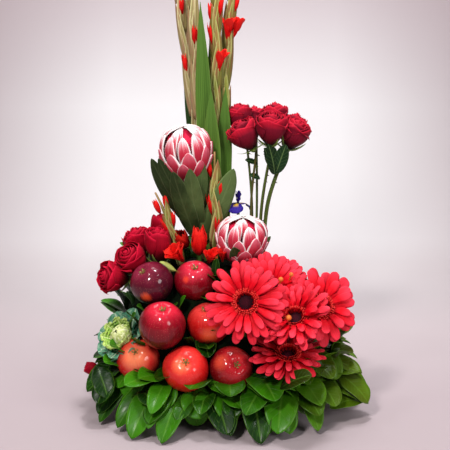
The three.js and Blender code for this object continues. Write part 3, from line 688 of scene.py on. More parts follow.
@dataclass(frozen=True)
class Downy(Finish):
    """Protea bracts: crimson at the foot, pink above, with a white downy edge.

    The depth mark is how far white down covers the tip.
    """

    foot: str = "74081a"
    low: str = "a4142a"
    base: str = "c62c44"
    tip: str = "da6074"
    down: str = "fbf4f4"

    def recipe(self) -> bpy.types.Material:
        """Makes the material's nodes."""
        recipe = Recipe(self.name, Roughness=0.7, Sheen_Weight=0.05, Sheen_Roughness=0.3,
                        Specular_IOR_Level=0.2)
        streaks = recipe.noise(recipe.grain((20.0, 1.4, 1.0)), 1.0, 4.0, 0.6)
        along = recipe.maths("ADD", recipe.mark("along"), recipe.maths("MULTIPLY", streaks, 0.2))
        base = recipe.ramp(along, (0.12, self.foot), (0.42, self.low), (0.75, self.base), (1.0, self.tip))
        base = recipe.tinted(recipe.span(streaks, 0.54, 0.74, 0.0, 0.45), base, self.tip)
        covered = recipe.maths("ADD", recipe.mark("along"), recipe.maths("MULTIPLY", recipe.mark("depth"), 0.75))
        covered = recipe.maths("ADD", covered, recipe.maths("MULTIPLY", streaks, 1.2))
        base = recipe.tinted(recipe.span(covered, 1.72, 1.96), base, self.down)
        off_middle = recipe.maths("ABSOLUTE", recipe.mark("across"))
        edge = recipe.maths("MULTIPLY", recipe.span(off_middle, 0.70, 0.88),
                            recipe.span(recipe.mark("along"), 0.30, 0.62))
        base = recipe.tinted(edge, base, self.down)
        return recipe.finish(base, streaks, 0.0004)


@dataclass(frozen=True)
class Mottled(Finish):
    """Small solid parts, moss and soil: two colours in clouds with a grainy relief."""

    low: str = "2a0410"
    high: str = "6a1222"
    scale: float = 300.0
    rough: float = 0.7
    relief: float = 0.0006
    tip: str = ""

    def recipe(self) -> bpy.types.Material:
        """Makes the material's nodes."""
        recipe = Recipe(self.name, Roughness=self.rough, Specular_IOR_Level=0.12)
        grain = recipe.noise(recipe.place(), self.scale, 4.0, 0.65)
        base = recipe.ramp(grain, (0.35, self.low), (0.65, self.high))
        if self.tip:
            base = recipe.tinted(recipe.span(recipe.mark("along"), 0.62, 0.95), base, self.tip)
        # Painted shade: darker where a part lies deep among others.
        base = recipe.tinted(recipe.mark("depth"), base, self.low)
        return recipe.finish(base, grain, self.relief)


@dataclass(frozen=True)
class FrilledLeaf(Finish):
    """Kale leaves: two greens with branching pale veins, a pale rib and a paler frilled edge."""

    low: str = "184c36"
    high: str = "3a9070"
    rib: str = "cfe6c8"
    edge: str = "6cb08c"
    vein_share: float = 0.35

    def recipe(self) -> bpy.types.Material:
        """Makes the material's nodes."""
        recipe = Recipe(self.name, Roughness=0.5, Specular_IOR_Level=0.3)
        off_rib = recipe.maths("ABSOLUTE", recipe.mark("across"))
        base = recipe.ramp(recipe.noise(recipe.place(), 90.0, 4.0), (0.32, self.low), (0.66, self.high))
        base = recipe.tinted(recipe.span(recipe.mark("along"), 0.72, 1.0, 0.0, 0.8), base, self.edge)
        veins = recipe.cells(recipe.grain((2.6, 5.0, 1.0)), 1.5)
        base = recipe.tinted(recipe.span(veins, 0.50, 0.74, 0.0, self.vein_share), base, self.rib)
        base = recipe.tinted(recipe.span(off_rib, 0.13, 0.03, 0.0, 0.9), base, self.rib)
        return recipe.finish(base, veins, 0.0008)


@dataclass(frozen=True)
class IrisSkin(Finish):
    """Iris petals: blue-violet with fine veins and a yellow blotch."""

    def recipe(self) -> bpy.types.Material:
        """Makes the material's nodes."""
        recipe = Recipe(self.name, Roughness=0.6, Specular_IOR_Level=0.25)
        veins = recipe.noise(recipe.grain((24.0, 1.0, 1.0)), 1.0, 3.0)
        base = recipe.ramp(veins, (0.35, "18086e"), (0.7, "381ca8"))
        off_rib = recipe.maths("ABSOLUTE", recipe.mark("across"))
        blotch = recipe.maths("MULTIPLY", recipe.span(recipe.mark("along"), 0.66, 0.45),
                              recipe.span(off_rib, 0.5, 0.2))
        base = recipe.tinted(recipe.maths("MULTIPLY", blotch, recipe.mark("depth")), base, "f0c020")
        return recipe.finish(base, veins, 0.0003)


class Finishes:
    """The finishes of the arrangement."""

    BLUSH_APPLE = WaxedSkin("blush_apple_skin", "apple_skin", "a40a10", "d02024", "e84c38", "fa8c60",
                            spot=(-0.142, -0.121, 0.109), spot_size=0.026)
    SCARLET_APPLE = WaxedSkin("scarlet_apple_skin", "apple_skin", "9c0a0c", "d01818", "e83430", "fa7850",
                              spot=(-0.067, -0.164, 0.112), spot_size=0.017)
    RED_APPLE = WaxedSkin("red_apple_skin", "apple_skin", "44060c", "7e0a12", "b81e28", "dc4c34", 0.62, 0.3,
                          (-0.007, -0.152, 0.112), 0.015)
    DARK_APPLE = WaxedSkin("dark_apple_skin", "apple_skin", "3c020a", "7c0818", "d02038", "c03028", 0.70, 0.3)
    ORANGE_APPLE = WaxedSkin("orange_apple_skin", "apple_skin", "840a0c", "c41818", "e03c38", "ec5c34", 0.58, 0.3,
                             (-0.024, -0.134, 0.148), 0.018)
    DUSKY_APPLE = WaxedSkin("dusky_apple_skin", "apple_skin", "220414", "500c20", "7c1a34", "f4562c", 0.75, 0.3,
                            (-0.123, -0.117, 0.206), 0.011)
    CRIMSON_APPLE = WaxedSkin("crimson_apple_skin", "apple_skin", "54040e", "88081a", "d02840", "e8402c", 0.70, 0.3,
                              (-0.061, -0.106, 0.232), 0.007)
    CALYX = Mottled("dry_calyx", "apple_skin", "58481c", "b4a868", 500.0)
    GERBERA = Velvet("gerbera_red_petal", "gerbera_petal", "840008", "e4081e", "ff4056", 7.0, 0.0, 0.5, 0.30, 0.5)
    GERBERA_DISC = Mottled("gerbera_disc", "gerbera_petal", "100208", "34081c", 700.0, 0.75, 0.0004, "5c1024")
    GERBERA_INNER = Velvet("gerbera_inner_petal", "gerbera_petal", "640006", "c80814", "f44840", 5.0, 0.0)
    ROSE = Velvet("low_rose_petal", "rose_petal", "28000c", "98041e", "cc1034", 26.0, 0.02, 0.6, 0.5, 0.84)
    TALL_ROSE = Velvet("tall_rose_petal", "rose_petal", "24040e", "781026", "c81c36", 26.0, 0.02, 0.6, 0.5, 0.82)
    PROTEA = Downy("protea_pink_bract", "protea_bract")
    PROTEA_DOWN = Mottled("protea_down", "protea_bract", "f0e8e8", "ffffff", 900.0, 0.9)
    PROTEA_HEART = Mottled("protea_heart", "protea_bract", "b40c30", "e42c54", 500.0, 0.7, 0.0004)
    PROTEA_LEAF = LeafSkin("protea_dull_leaf", "protea_leaf", "2a381c", "5a7040", "8a9866", 0.62, 0.0, 6.0, 0.05, 0.12)
    GLOSSY_LEAF = LeafSkin("collar_leaf", "glossy_leaf", "0c2e02", "3a7c0a", "74a838", 0.36, 0.10, 9.0, 0.10, 0.26,
                           "74701c")
    ROSE_LEAF = LeafSkin("rose_leaf", "glossy_leaf", "10280e", "24482a", "6c8a50", 0.45, 0.1, 8.0)
    # Near-black: the moss's own dark green deepened into painted shade, for the gaps between the apples and leaves
    # where it shows.
    MOSS_PAINTED_SHADE = Mottled("moss", "glossy_leaf", "020602", "0a1a07", 180.0, 0.95, 0.002)
    GREEN_STEM = Striped("green_stem", "protea_leaf", "2c5020", "5c8034", "6a4428", "4c6c2c")
    ROSE_STEM = Striped("rose_stem", "protea_leaf", "2c3618", "5c7028", "5c3026", "86a040", 12.0, 0.5, 0.6)
    SEPAL = Striped("rose_sepal", "protea_leaf", "4c6828", "86a048", "a8b868", "9cb058", 8.0, 0.5, 0.3)
    SWORD = Striped("green_sword_leaf", "sword_leaf", "34561c", "587c2e", "6c8438", "587c34", 16.0, 0.42, 0.3)
    # A darker copy of the sword leaf for the two leaves at the back: painted shade.
    SWORD_PAINTED_SHADE = Striped("sword_leaf_painted_shade", "sword_leaf", "16280f", "2c4c1e", "3c5426", "24421a", 16.0, 0.42, 0.3)
    SPATHE = Striped("gladiolus_sheath", "gladiolus_spike", "747c38", "9c9c4c", "bcc47c", "9c6448", 3.0,
                     0.5, 0.6, "a06c4a")
    TAN_SPATHE = Striped("tan_gladiolus_sheath", "gladiolus_spike", "908458", "b8ac70", "dce0ac", "98604c", 3.0,
                         0.5, 0.6, "b08468")
    GLADIOLUS_RED = Velvet("gladiolus_petal", "gladiolus_floret", "90080a", "e01414", "fa2c24", 8.0, 0.02,
                           0.5, 0.3, 0.5)
    DEEP_RED = Velvet("gladiolus_deep_petal", "gladiolus_floret", "58040a", "b80e10", "e02a1c", 8.0, 0.02)
    IRIS = IrisSkin("iris_blue_petal", "iris_petal")
    LIME = Striped("lime_bud_skin", "lime_bud", "98a444", "c4cc78", "7c8c38", "a8b054", 10.0, 0.4, 0.2)
    ORANGE = Mottled("orange_bud_skin", "orange_bud", "d05c20", "f89048", 300.0, 0.45, 0.0003)
    KALE_OUTER = FrilledLeaf("kale_outer_leaf", "kale_leaf")
    KALE_FRILL = FrilledLeaf("kale_frilled_leaf", "kale_leaf", "64a028", "b4d85c", "ecf8b0", "d4ec84", 0.5)
    KALE_HEART = FrilledLeaf("kale_heart_leaf", "kale_leaf", "a0b058", "d8e490", "f8fcd0", "ecf4b0", 0.6)
    WICKER = Striped("dark_wicker", "wicker", "1c120a", "4c3220", "2c1c10", "3c2818", 12.0, 0.55, 0.2)


@dataclass(frozen=True)
class Apple:
    """An apple that shows its eye end, with a basin, low lobes and a dry calyx."""

    number: int
    place: Point
    facing: Point
    radius: float
    skin: Finish = Finishes.RED_APPLE
    height: float = 0.94
    basin_depth: float = 0.20
    basin_width: float = 0.25
    lobe: float = 0.022
    rows: int = 44
    sides: int = 60

    def _pose(self) -> Pose:
        """Returns where the apple stands."""
        return Pose(self.place, self.facing, 24.0 * (self.number - 1))

    def _body(self) -> Form:
        """Makes the body."""
        turn = np.linspace(-math.pi / 2, math.pi / 2, self.rows)[:, None]
        angle = np.linspace(0.0, 2 * math.pi, self.sides, endpoint=False)[None, :]
        reach = np.maximum(0.012, np.cos(turn))
        basin = self.basin_depth * np.exp(-((reach / self.basin_width) ** 2))
        z = np.sin(turn) * (self.height - basin)
        high = np.maximum(0.0, z)
        index = self.number - 1
        lobes = 1 + self.lobe * high * np.cos(5 * angle)
        lobes = lobes + 0.012 * np.cos(2 * angle + self.number) + 0.008 * np.cos(3 * angle + 2 * self.number)
        rim = np.exp(-(((reach - 0.27) / 0.11) ** 2)) * high
        creases = rim * (0.020 * np.cos(5 * angle + 0.6) + 0.008 * np.cos(9 * angle + self.number))
        x = reach * lobes * (1 + 0.02 * uneven(index, 2)) * np.cos(angle)
        y = reach * lobes * np.sin(angle)
        lean = 0.03 * uneven(index, 1) * x
        rings = self.radius * np.stack([x, y, z + creases + lean + 0 * angle], axis=-1)
        form = Form()
        form.ring_form(rings, tint=uneven(self.number, 3), pose=self._pose())
        return form

    def _calyx(self) -> Form:
        """Makes the five dry tips and the dark tuft at the bottom of the basin."""
        form = Form()
        floor = (self.height - self.basin_depth) * self.radius
        # The tuft's dark colour is partly painted shade at the bottom of the basin.
        form.turned([(0.0022, floor - 0.0012), (0.0026, floor + 0.0006), (0.0012, floor + 0.0016)], 9,
                    depth=0.8, pose=self._pose())
        for i in range(5):
            angle = 2 * math.pi * (i + 0.5) / 5
            cos, sin = math.cos(angle), math.sin(angle)
            lean = 0.0012 * uneven(i, self.number)
            blade = Blade((0.0022 * cos, 0.0022 * sin, floor), (0.0052 * cos, 0.0052 * sin, floor + 0.0052 + lean),
                          0.0036, Outline.SPINDLE, bend=70, upper=(-cos, -sin, 0.4))
            form.sheet(blade.grid(7, 5), 0.0006, uneven(i, 5), pose=self._pose())
        return form

    def build(self) -> None:
        """Builds the apple."""
        node = f"apple_{self.number}"
        self._body().piece(f"{node}_skin", self.skin, node)
        self._calyx().piece(f"{node}_calyx", Finishes.CALYX, node)


@dataclass(frozen=True)
class PetalRing:
    """One ring of a gerbera's petals, with lengths and widths as shares of the flower's radius."""

    count: int
    length: float
    width: float
    start: float
    start_height: float
    tip_height: float
    bend: float
    # Painted shade: the outer rings, which lie behind the others, are drawn darker.
    depth: float = 0.0


@dataclass(frozen=True)
class Gerbera:
    """A gerbera: rings of strap petals, an inner ring of short ones and a dark disc on a bare stem.

    cup lifts the tips of its petals, ruffle is how uneven they are, shade how much painted shade darkens
    them towards their feet and petal their width as a share of the usual one.
    """

    number: int
    place: Point
    facing: Point
    radius: float
    via: Point
    foot: Point
    cup: float = 0.0
    ruffle: float = 1.0
    fullness: float = 1.0
    shade: float = 0.0
    petal: float = 1.0
    disc: float = 0.0145
    stem: float = 0.003

    RINGS = (
        PetalRing(17, 1.00, 0.225, 0.17, 0.0030, 0.004, -30, 0.30),
        PetalRing(16, 0.94, 0.210, 0.17, 0.0052, 0.0105, -30, 0.10),
        PetalRing(13, 0.76, 0.175, 0.17, 0.0070, 0.0165, -26),
    )

    def _pose(self) -> Pose:
        """Returns where the head stands."""
        return Pose(self.place, self.facing, 9.0 * (self.number - 1))

    def _petals(self) -> Form:
        """Makes the rings of long petals."""
        form = Form()
        rng = np.random.default_rng(40 + self.number)
        for order, ring in enumerate(self.RINGS):
            count = round(ring.count * self.fullness)
            for i in range(count):
                angle = 2 * math.pi * (i + 0.5 * order) / count + rng.normal(0, 0.07) * self.ruffle
                cos, sin = math.cos(angle), math.sin(angle)
                reach = self.radius * ring.length * (1 + 0.08 * rng.uniform(-1, 1) * self.ruffle)
                start = self.radius * ring.start
                tip = ring.tip_height + self.cup * self.radius + rng.uniform(-0.0035, 0.003) * self.ruffle
                blade = Blade(
                    (start * cos, start * sin, ring.start_height), (reach * cos, reach * sin, tip),
                    self.petal * self.radius * ring.width * rng.uniform(0.88, 1.08), Outline.STRAP,
                    bend=ring.bend * rng.uniform(0.5, 1.5), twist=rng.uniform(-16, 16) * self.ruffle,
                    cup=-0.14 * rng.uniform(-1.0, 1.6), wave=0.0012 * self.ruffle,
                    phase=rng.uniform(0, 6), ribs=3, ridge=0.00034,
                )
                # Painted shade: the outer rings and the feet of the petals are darkened, and more on a head that lies
                # under others.
                foot = 1 - np.linspace(0, 1, 13)[:, None]
                shade = np.minimum(0.95, ring.depth + 0.5 * foot ** 3 + self.shade * foot ** 0.8)
                form.sheet(blade.grid(13, 7), 0.0008, rng.uniform(-1, 1), shade, self._pose())
        return form

    def _inner(self) -> Form:
        """Makes the short petals round the disc."""
        form = Form()
        rng = np.random.default_rng(140 + self.number)
        for order, (count, length) in enumerate(((40, 0.17), (38, 0.11), (34, 0.06))):
            for i in range(count):
                angle = 2 * math.pi * (i + 0.37 * order) / count + rng.normal(0, 0.04)
                cos, sin = math.cos(angle), math.sin(angle)
                start = self.disc * (1.0 - 0.06 * order)
                reach = start + self.radius * length * rng.uniform(0.75, 1.0) * 0.7
                height = 0.007 + 0.001 * order
                blade = Blade((start * cos, start * sin, height),
                              (reach * cos, reach * sin, height + 0.004 + 0.0012 * order + rng.uniform(0, 0.002)),
                              0.0026, Outline.STRAP, bend=-50, cup=0.3, upper=(-0.4 * cos, -0.4 * sin, 1.0))
                form.sheet(blade.grid(5, 3), 0.0006, rng.uniform(-1, 1), pose=self._pose())
        return form

    def _disc(self) -> Form:
        """Makes the dome of the disc from many small florets in spirals."""
        form = Form()
        dome = [(self.disc * math.cos(a), 0.0035 + 0.0035 * math.sin(a)) for a in np.linspace(0, 1.45, 7)]
        # The dome between the florets is darkened as painted shade.
        form.turned([(self.disc * 0.9, 0.001), *dome], 24, depth=0.6, pose=self._pose())
        count = 190
        for i in range(count):
            share = (i + 0.5) / count
            r = self.disc * 1.02 * math.sqrt(share)
            angle = i * GOLDEN_ANGLE
            level = 0.0035 + 0.0035 * math.sqrt(max(0.0, 1 - share))
            lean = 0.0009 * share
            size = 0.00052 + 0.0002 * share
            base = np.array([r * math.cos(angle), r * math.sin(angle), level - 0.0006])
            tip = base + np.array([lean * math.cos(angle), lean * math.sin(angle),
                                   0.0018 + 0.0016 * eased(share, 0.35, 0.95)])
            form.rod(np.linspace(base, tip, 3), [size * 0.9, size, size * 0.45], 5,
                     uneven(i, 1), pose=self._pose())
        return form

    def _green(self) -> Form:
        """Makes the stem and the scaly cup behind the head."""
        form = Form()
        pose = self._pose()
        form.turned([(0.0034, -0.0075), (0.0062, -0.0062), (0.0105, -0.002), (0.0128, 0.0022), (0.010, 0.0034)],
                    24, pose=pose)
        for order in range(3):
            for i in range(16):
                angle = 2 * math.pi * (i + 0.5 * order) / 16
                cos, sin = math.cos(angle), math.sin(angle)
                low, high = 0.006 + 0.002 * order, 0.0125 + 0.002 * order
                blade = Blade((low * cos, low * sin, -0.0062 + 0.002 * order),
                              (high * cos, high * sin, 0.0004 + 0.0014 * order), 0.0036, Outline.SPINDLE,
                              bend=-30, upper=(cos, sin, -0.6))
                form.sheet(blade.grid(5, 3), 0.0006, uneven(i, order), pose=pose)
        top = pose.carry(np.array([[0.0, 0.0, -0.006], [0.0, 0.0, -0.014]]))
        path = curve([*map(tuple, top), self.via, self.foot], 8)
        form.rod(path, [self.stem, self.stem * 1.05], 10)
        return form

    def build(self) -> None:
        """Builds the flower."""
        node = f"gerbera_{self.number}"
        self._petals().piece(f"{node}_petals", Finishes.GERBERA, node)
        self._inner().piece(f"{node}_inner_petals", Finishes.GERBERA_INNER, node)
        self._disc().piece(f"{node}_disc", Finishes.GERBERA_DISC, node)
        self._green().piece(f"{node}_stem", Finishes.GREEN_STEM, node)


@dataclass(frozen=True)
class Rose:
    """A rose: petals wrapped in a spiral round a closed heart, with sepals, a stem and leaves.

    opening is how far the outer petals roll back, from 0 for a bud.
    """

    node: str
    number: int
    place: Point
    facing: Point
    radius: float
    height: float
    foot: Point
    via: Point | None = None
    leaves: tuple[Leaf, ...] = ()
    opening: float = 1.0
    stem: float = 0.0020
    petals: Finish = Finishes.ROSE

    LAYERS = ((5, 1.0), (4, 0.86), (4, 0.68), (3, 0.50), (3, 0.34), (3, 0.20), (2, 0.09))

    def _pose(self) -> Pose:
        """Returns where the head stands."""
        return Pose(self.place, self.facing, 31.0 * (self.number - 1))

    def _petal(self, share: float, angle: float, rng: np.random.Generator) -> Grid:
        """Lays out one petal round the head's axis.

        Args:
            share: 0 for the innermost petal, 1 for the outermost.
            angle: The direction of its middle.
            rng: The source of its unevenness.

        Returns:
            Its middle surface.
        """
        v = np.linspace(0.0, 1.0, 13)[:, None]
        u = np.linspace(-1.0, 1.0, 9)[None, :]
        belly = self.radius * (0.10 + 0.92 * share ** 0.85)
        spread = math.radians(140 - 72 * share)
        top = self.height * (0.52 - 0.12 * share * self.opening + rng.uniform(-0.03, 0.02))
        body = 0.24 + 0.76 * np.sin(np.minimum(1.0, v * 1.5) * math.pi / 2) ** 0.9
        close = 0.44 * (1 - share) + 0.16 + 0.16 * (1 - self.opening)
        radius = belly * body * (1 - close * v ** 2.2)
        rolled = self.opening * share ** 1.3 * rng.uniform(0.4, 1.2)
        side = np.abs(u)
        lip = eased(v, 0.66, 1.0) * (0.35 + 1.1 * side * (1 - 0.45 * side))
        radius = radius + rolled * 0.28 * self.radius * lip
        low = -0.46 * self.height
        z = low + (top - low) * v ** 0.86
        z = z - (top - low) * 0.18 * side ** 1.6 * v ** 1.5
        z = z - rolled * 0.15 * self.height * eased(v, 0.78, 1.0) * (0.2 + side)
        z = z + 0.010 * self.height * np.sin(5 * u + angle) * v
        radius = radius * (1 + 0.05 * u) + 0.015 * self.radius * np.sin(4 * u + 3 * v + angle) * v
        turn = angle + u * spread * (0.30 + 0.70 * np.sin(np.minimum(1.0, v * 1.4) * math.pi / 2))
        return np.stack([radius * np.cos(turn), radius * np.sin(turn), z + 0 * u], axis=-1)

    def _head(self) -> Form:
        """Makes the petals."""
        form = Form()
        rng = np.random.default_rng(300 + 17 * self.number + len(self.node))
        angle = rng.uniform(0, 6)
        for count, share in self.LAYERS:
            for i in range(count):
                angle += 2 * math.pi / count + rng.normal(0, 0.06)
                size = share + 0.03 * (i / count - 0.5)
                # Painted shade: the inner petals, and the lower part of each, are darkened where they lie deep in the
                # head.
                depth = 0.7 * max(0.0, 1 - size) ** 0.8 * (1 - np.linspace(0, 1, 13)[:, None] ** 3)
                form.sheet(self._petal(size, angle, rng), 0.0007, rng.uniform(-1, 1), depth, self._pose())
            angle += 0.6
        return form

    def _calyx(self) -> Form:
        """Makes the hip and the narrow sepals that spread from it."""
        form = Form()
        pose = self._pose()
        h = self.height
        hip = self.radius * 0.24
        form.turned([(self.stem, -0.60 * h), (hip * 0.8, -0.55 * h), (hip, -0.48 * h), (hip * 0.8, -0.43 * h)],
                    14, pose=pose)
        for i in range(5):
            angle = 2 * math.pi * i / 5 + self.number
            cos, sin = math.cos(angle), math.sin(angle)
            reach = self.radius * (1.10 + 0.10 * uneven(i, self.number))
            tip = (-0.20 + 0.24 * uneven(i, self.number)) * h
            blade = Blade((hip * 0.7 * cos, hip * 0.7 * sin, -0.50 * h), (reach * cos, reach * sin, tip),
                          self.radius * 0.27, Outline.SHEATH, bend=44, twist=14 * uneven(i, 9),
                          upper=(-cos, -sin, 0.2))
            form.sheet(blade.grid(9, 5), 0.0006, uneven(i, 4), pose=pose)
        return form

    def _stalk(self) -> Form:
        """Makes the stem and its thorns."""
        form = Form()
        h = self.height
        top = self._pose().carry(np.array([[0.0, 0.0, -0.52 * h], [0.0, 0.0, -0.66 * h]]))
        route = [*map(tuple, top), self.via, self.foot] if self.via else [*map(tuple, top), self.foot]
        path = curve(route, 10)
        form.rod(path, [self.stem * 0.9, self.stem, self.stem * 1.1], 9)
        if self.via:
            for i in range(4, len(path) - 3, 3):
                angle = i * 2.4
                out = np.array([math.cos(angle), math.sin(angle), -0.35]) * 0.0045
                start = path[i] + out * 0.4
                form.rod(np.array([start, start + out * 0.5, start + out]), [0.0014, 0.0007, 0.0002], 5, 0.5)
        return form

    def _foliage(self) -> Form:
        """Makes the leaves on the stem, with toothed edges."""
        form = Form()
        for i, (base, tip, width) in enumerate(self.leaves):
            blade = Blade(base, tip, width, Outline.OVAL, bend=-30, fold=0.24, wave=0.0012,
                          ripples=60.0, upper=(0.1, -0.8, 0.6))
            form.sheet(blade.grid(25, 9), 0.0007, uneven(i, 2))
        return form

    def build(self) -> None:
        """Builds the rose."""
        self._head().piece(f"{self.node}_petals", self.petals, self.node)
        self._calyx().piece(f"{self.node}_sepals", Finishes.SEPAL, self.node)
        self._stalk().piece(f"{self.node}_stem", Finishes.ROSE_STEM, self.node)
        if self.leaves:
            self._foliage().piece(f"{self.node}_leaves", Finishes.ROSE_LEAF, self.node)


@dataclass(frozen=True)
class BractRow:
    """One row of a protea's bracts.

    They cover the shares start to end of the way from the head's foot to its crown. out is how far they
    stand off its outline, as a share of its radius, down how far white down covers them, and missing
    the numbers of those that are left out.
    """

    count: int
    start: float
    end: float
    width: float
    out: float
    down: float
    missing: tuple[int, ...] = ()


@dataclass(frozen=True)
class Protea:
    """A protea: a goblet of downy bracts round a dark heart, on a leafy stem."""

    number: int
    place: Point
    facing: Point
    radius: float
    height: float
    via: Point
    foot: Point
    leaves: tuple[Leaf, ...]
    stem: float = 0.005

    PROFILE = ((0.24, -0.50), (0.60, -0.36), (0.86, -0.14), (0.98, 0.08), (0.94, 0.27), (0.73, 0.42),
               (0.42, 0.49), (0.10, 0.50))
    ROWS = (
        BractRow(8, 0.02, 0.22, 0.018, 0.105, 0.0),
        BractRow(9, 0.05, 0.36, 0.027, 0.080, 0.0),
        BractRow(9, 0.10, 0.51, 0.028, 0.045, 0.1),
        BractRow(10, 0.20, 0.74, 0.0235, 0.0, 0.45),
        BractRow(9, 0.30, 0.92, 0.0170, -0.040, 0.62, (3, 5)),
        BractRow(9, 0.42, 0.96, 0.0120, -0.090, 0.70, (3, 5)),
    )

    def _pose(self) -> Pose:
        """Returns where the head stands."""
        return Pose(self.place, self.facing, 17.0 * (self.number - 1))

    def _outline(self, share: Grid) -> tuple[Grid, Grid]:
        """Returns the radius and height of the head at shares of the way from its foot to its crown."""
        smooth = curve([(r, 0.0, z) for r, z in self.PROFILE], 6)
        steps = np.linspace(0.0, 1.0, len(smooth))
        radius = np.interp(share, steps, smooth[:, 0]) * self.radius
        return radius, np.interp(share, steps, smooth[:, 2]) * self.height

    def _bract(self, row: BractRow, angle: float, rng: np.random.Generator) -> Grid:
        """Lays out one bract on the head's outline.

        Args:
            row: The row that it stands in.
            angle: The direction of its middle.
            rng: The source of its unevenness.

        Returns:
            Its middle surface.
        """
        t = 1 - (1 - np.linspace(0.0, 1.0, 17)[:, None]) ** 1.3
        s = np.linspace(-1.0, 1.0, 9)[None, :]
        end = row.end + rng.uniform(-0.03, 0.02)
        radius, height = self._outline(row.start + (end - row.start) * t)
        half = row.width / 2 * rng.uniform(0.92, 1.08) * Outline.BRACT.share(t)
        off = row.out + 0.02 * t - 0.06 * s ** 2 * (1 - row.down) + rng.uniform(-0.01, 0.01)
        reach = radius + self.radius * off
        turn = angle + s * half / np.maximum(radius, 0.32 * self.radius) + rng.uniform(-0.06, 0.06) * t
        lift = 0.0008 * np.cos(3 * math.pi * s) * t
        return np.stack([(reach + lift) * np.cos(turn), (reach + lift) * np.sin(turn), height + 0 * s], axis=-1)

    def _bract_grids(self) -> list[tuple[Grid, float, float]]:
        """Returns the middle surface, the tint and the down of every bract."""
        rng = np.random.default_rng(500 + self.number)
        grids = []
        for order, row in enumerate(self.ROWS):
            for i in range(row.count):
                angle = 2 * math.pi * (i + 0.5 * order) / row.count + rng.normal(0, 0.05)
                grid, tint = self._bract(row, angle, rng), rng.uniform(-1, 1)
                if i not in row.missing:
                    grids.append((grid, tint, row.down))
        return grids

    def _bracts(self) -> Form:
        """Makes the bracts."""
        form = Form()
        for grid, tint, down in self._bract_grids():
            form.sheet(grid, 0.0012, tint, down, self._pose())
        return form

    def _fringe(self) -> Form:
        """Makes the white hairs at the edges and tips of the bracts."""
        form = Form()
        rng = np.random.default_rng(520 + self.number)
        for grid, _, down in self._bract_grids():
            spine = unit(grid[-1, 4] - grid[-5, 4])
            for row in range(6, 17):
                woolly = down > 0.5 and row > 9
                for column in range(9) if woolly else (0, 8):
                    start = grid[row, column]
                    way = unit(spine + 0.5 * unit(start - grid[row, 4] + 1e-6) + rng.normal(0, 0.3, 3))
                    length = rng.uniform(0.0012, 0.0030) * (1.0 if woolly else 0.5)
                    form.rod(np.array([start - way * 0.0006, start + way * length]),
                             [0.00034, 0.00014], 3, rng.uniform(-1, 1), pose=self._pose())
        return form

    def _heart(self) -> Form:
        """Makes the closed cone of styles inside the bracts."""
        form = Form()
        rng = np.random.default_rng(540 + self.number)
        r, h = self.radius, self.height
        form.turned([(0.2 * r, -0.48 * h), (0.6 * r, -0.2 * h), (0.76 * r, 0.22 * h), (0.60 * r, 0.36 * h),
                     (0.04 * r, 0.43 * h)], 20, depth=0.0, pose=self._pose())
        for i in range(150):
            share = (i + 0.5) / 150
            angle = i * GOLDEN_ANGLE
            wide = 0.62 * r * math.sqrt(share)
            top = (0.45 - 0.14 * share + rng.uniform(-0.02, 0.02)) * h
            base = np.array([wide * math.cos(angle), wide * math.sin(angle), 0.0])
            tip = np.array([wide * 0.5 * math.cos(angle), wide * 0.5 * math.sin(angle), top])
            middle = (base + tip) / 2 * np.array([1.25, 1.25, 1.0])
            form.rod(curve([tuple(base), tuple(middle), tuple(tip)], 3), [0.0009, 0.0009, 0.0012], 4,
                     rng.uniform(-1, 1), pose=self._pose())
        return form

    def _stalk(self) -> Form:
        """Makes the stem."""
        form = Form()
        top = self._pose().carry(np.array([[0.0, 0.0, -0.505 * self.height], [0.0, 0.0, -0.60 * self.height]]))
        path = curve([*map(tuple, top), self.via, self.foot], 8)
        form.rod(path, [self.stem * 1.3, self.stem, self.stem], 12)
        return form

    def _leaves(self) -> Form:
        """Makes the oblong leathery leaves."""
        form = Form()
        for i, (base, tip, width) in enumerate(self.leaves):
            inward = (0.5 * (self.via[0] - tip[0]), self.via[1] - tip[1] + 0.05, 0.03)
            blade = Blade(base, tip, width * 1.08, Outline.OVAL, bend=26 + 6 * uneven(i, 1), fold=0.10,
                          wave=0.0008, ripples=9.0, twist=12 * uneven(i, 3), upper=inward)
            form.sheet(blade.grid(19, 9), 0.0016, float(np.clip(16 * (tip[0] - self.place[0]), -1, 1)))
        return form

    def build(self) -> None:
        """Builds the flower."""
        head, stem = f"protea_head_{self.number}", f"protea_stem_{self.number}"
        self._bracts().piece(f"{head}_bracts", Finishes.PROTEA, head)
        self._fringe().piece(f"{head}_fringe", Finishes.PROTEA_DOWN, head)
        self._heart().piece(f"{head}_heart", Finishes.PROTEA_HEART, head)
        self._stalk().piece(f"{stem}_stalk", Finishes.GREEN_STEM, stem)
        self._leaves().piece(f"{stem}_leaves", Finishes.PROTEA_LEAF, stem)


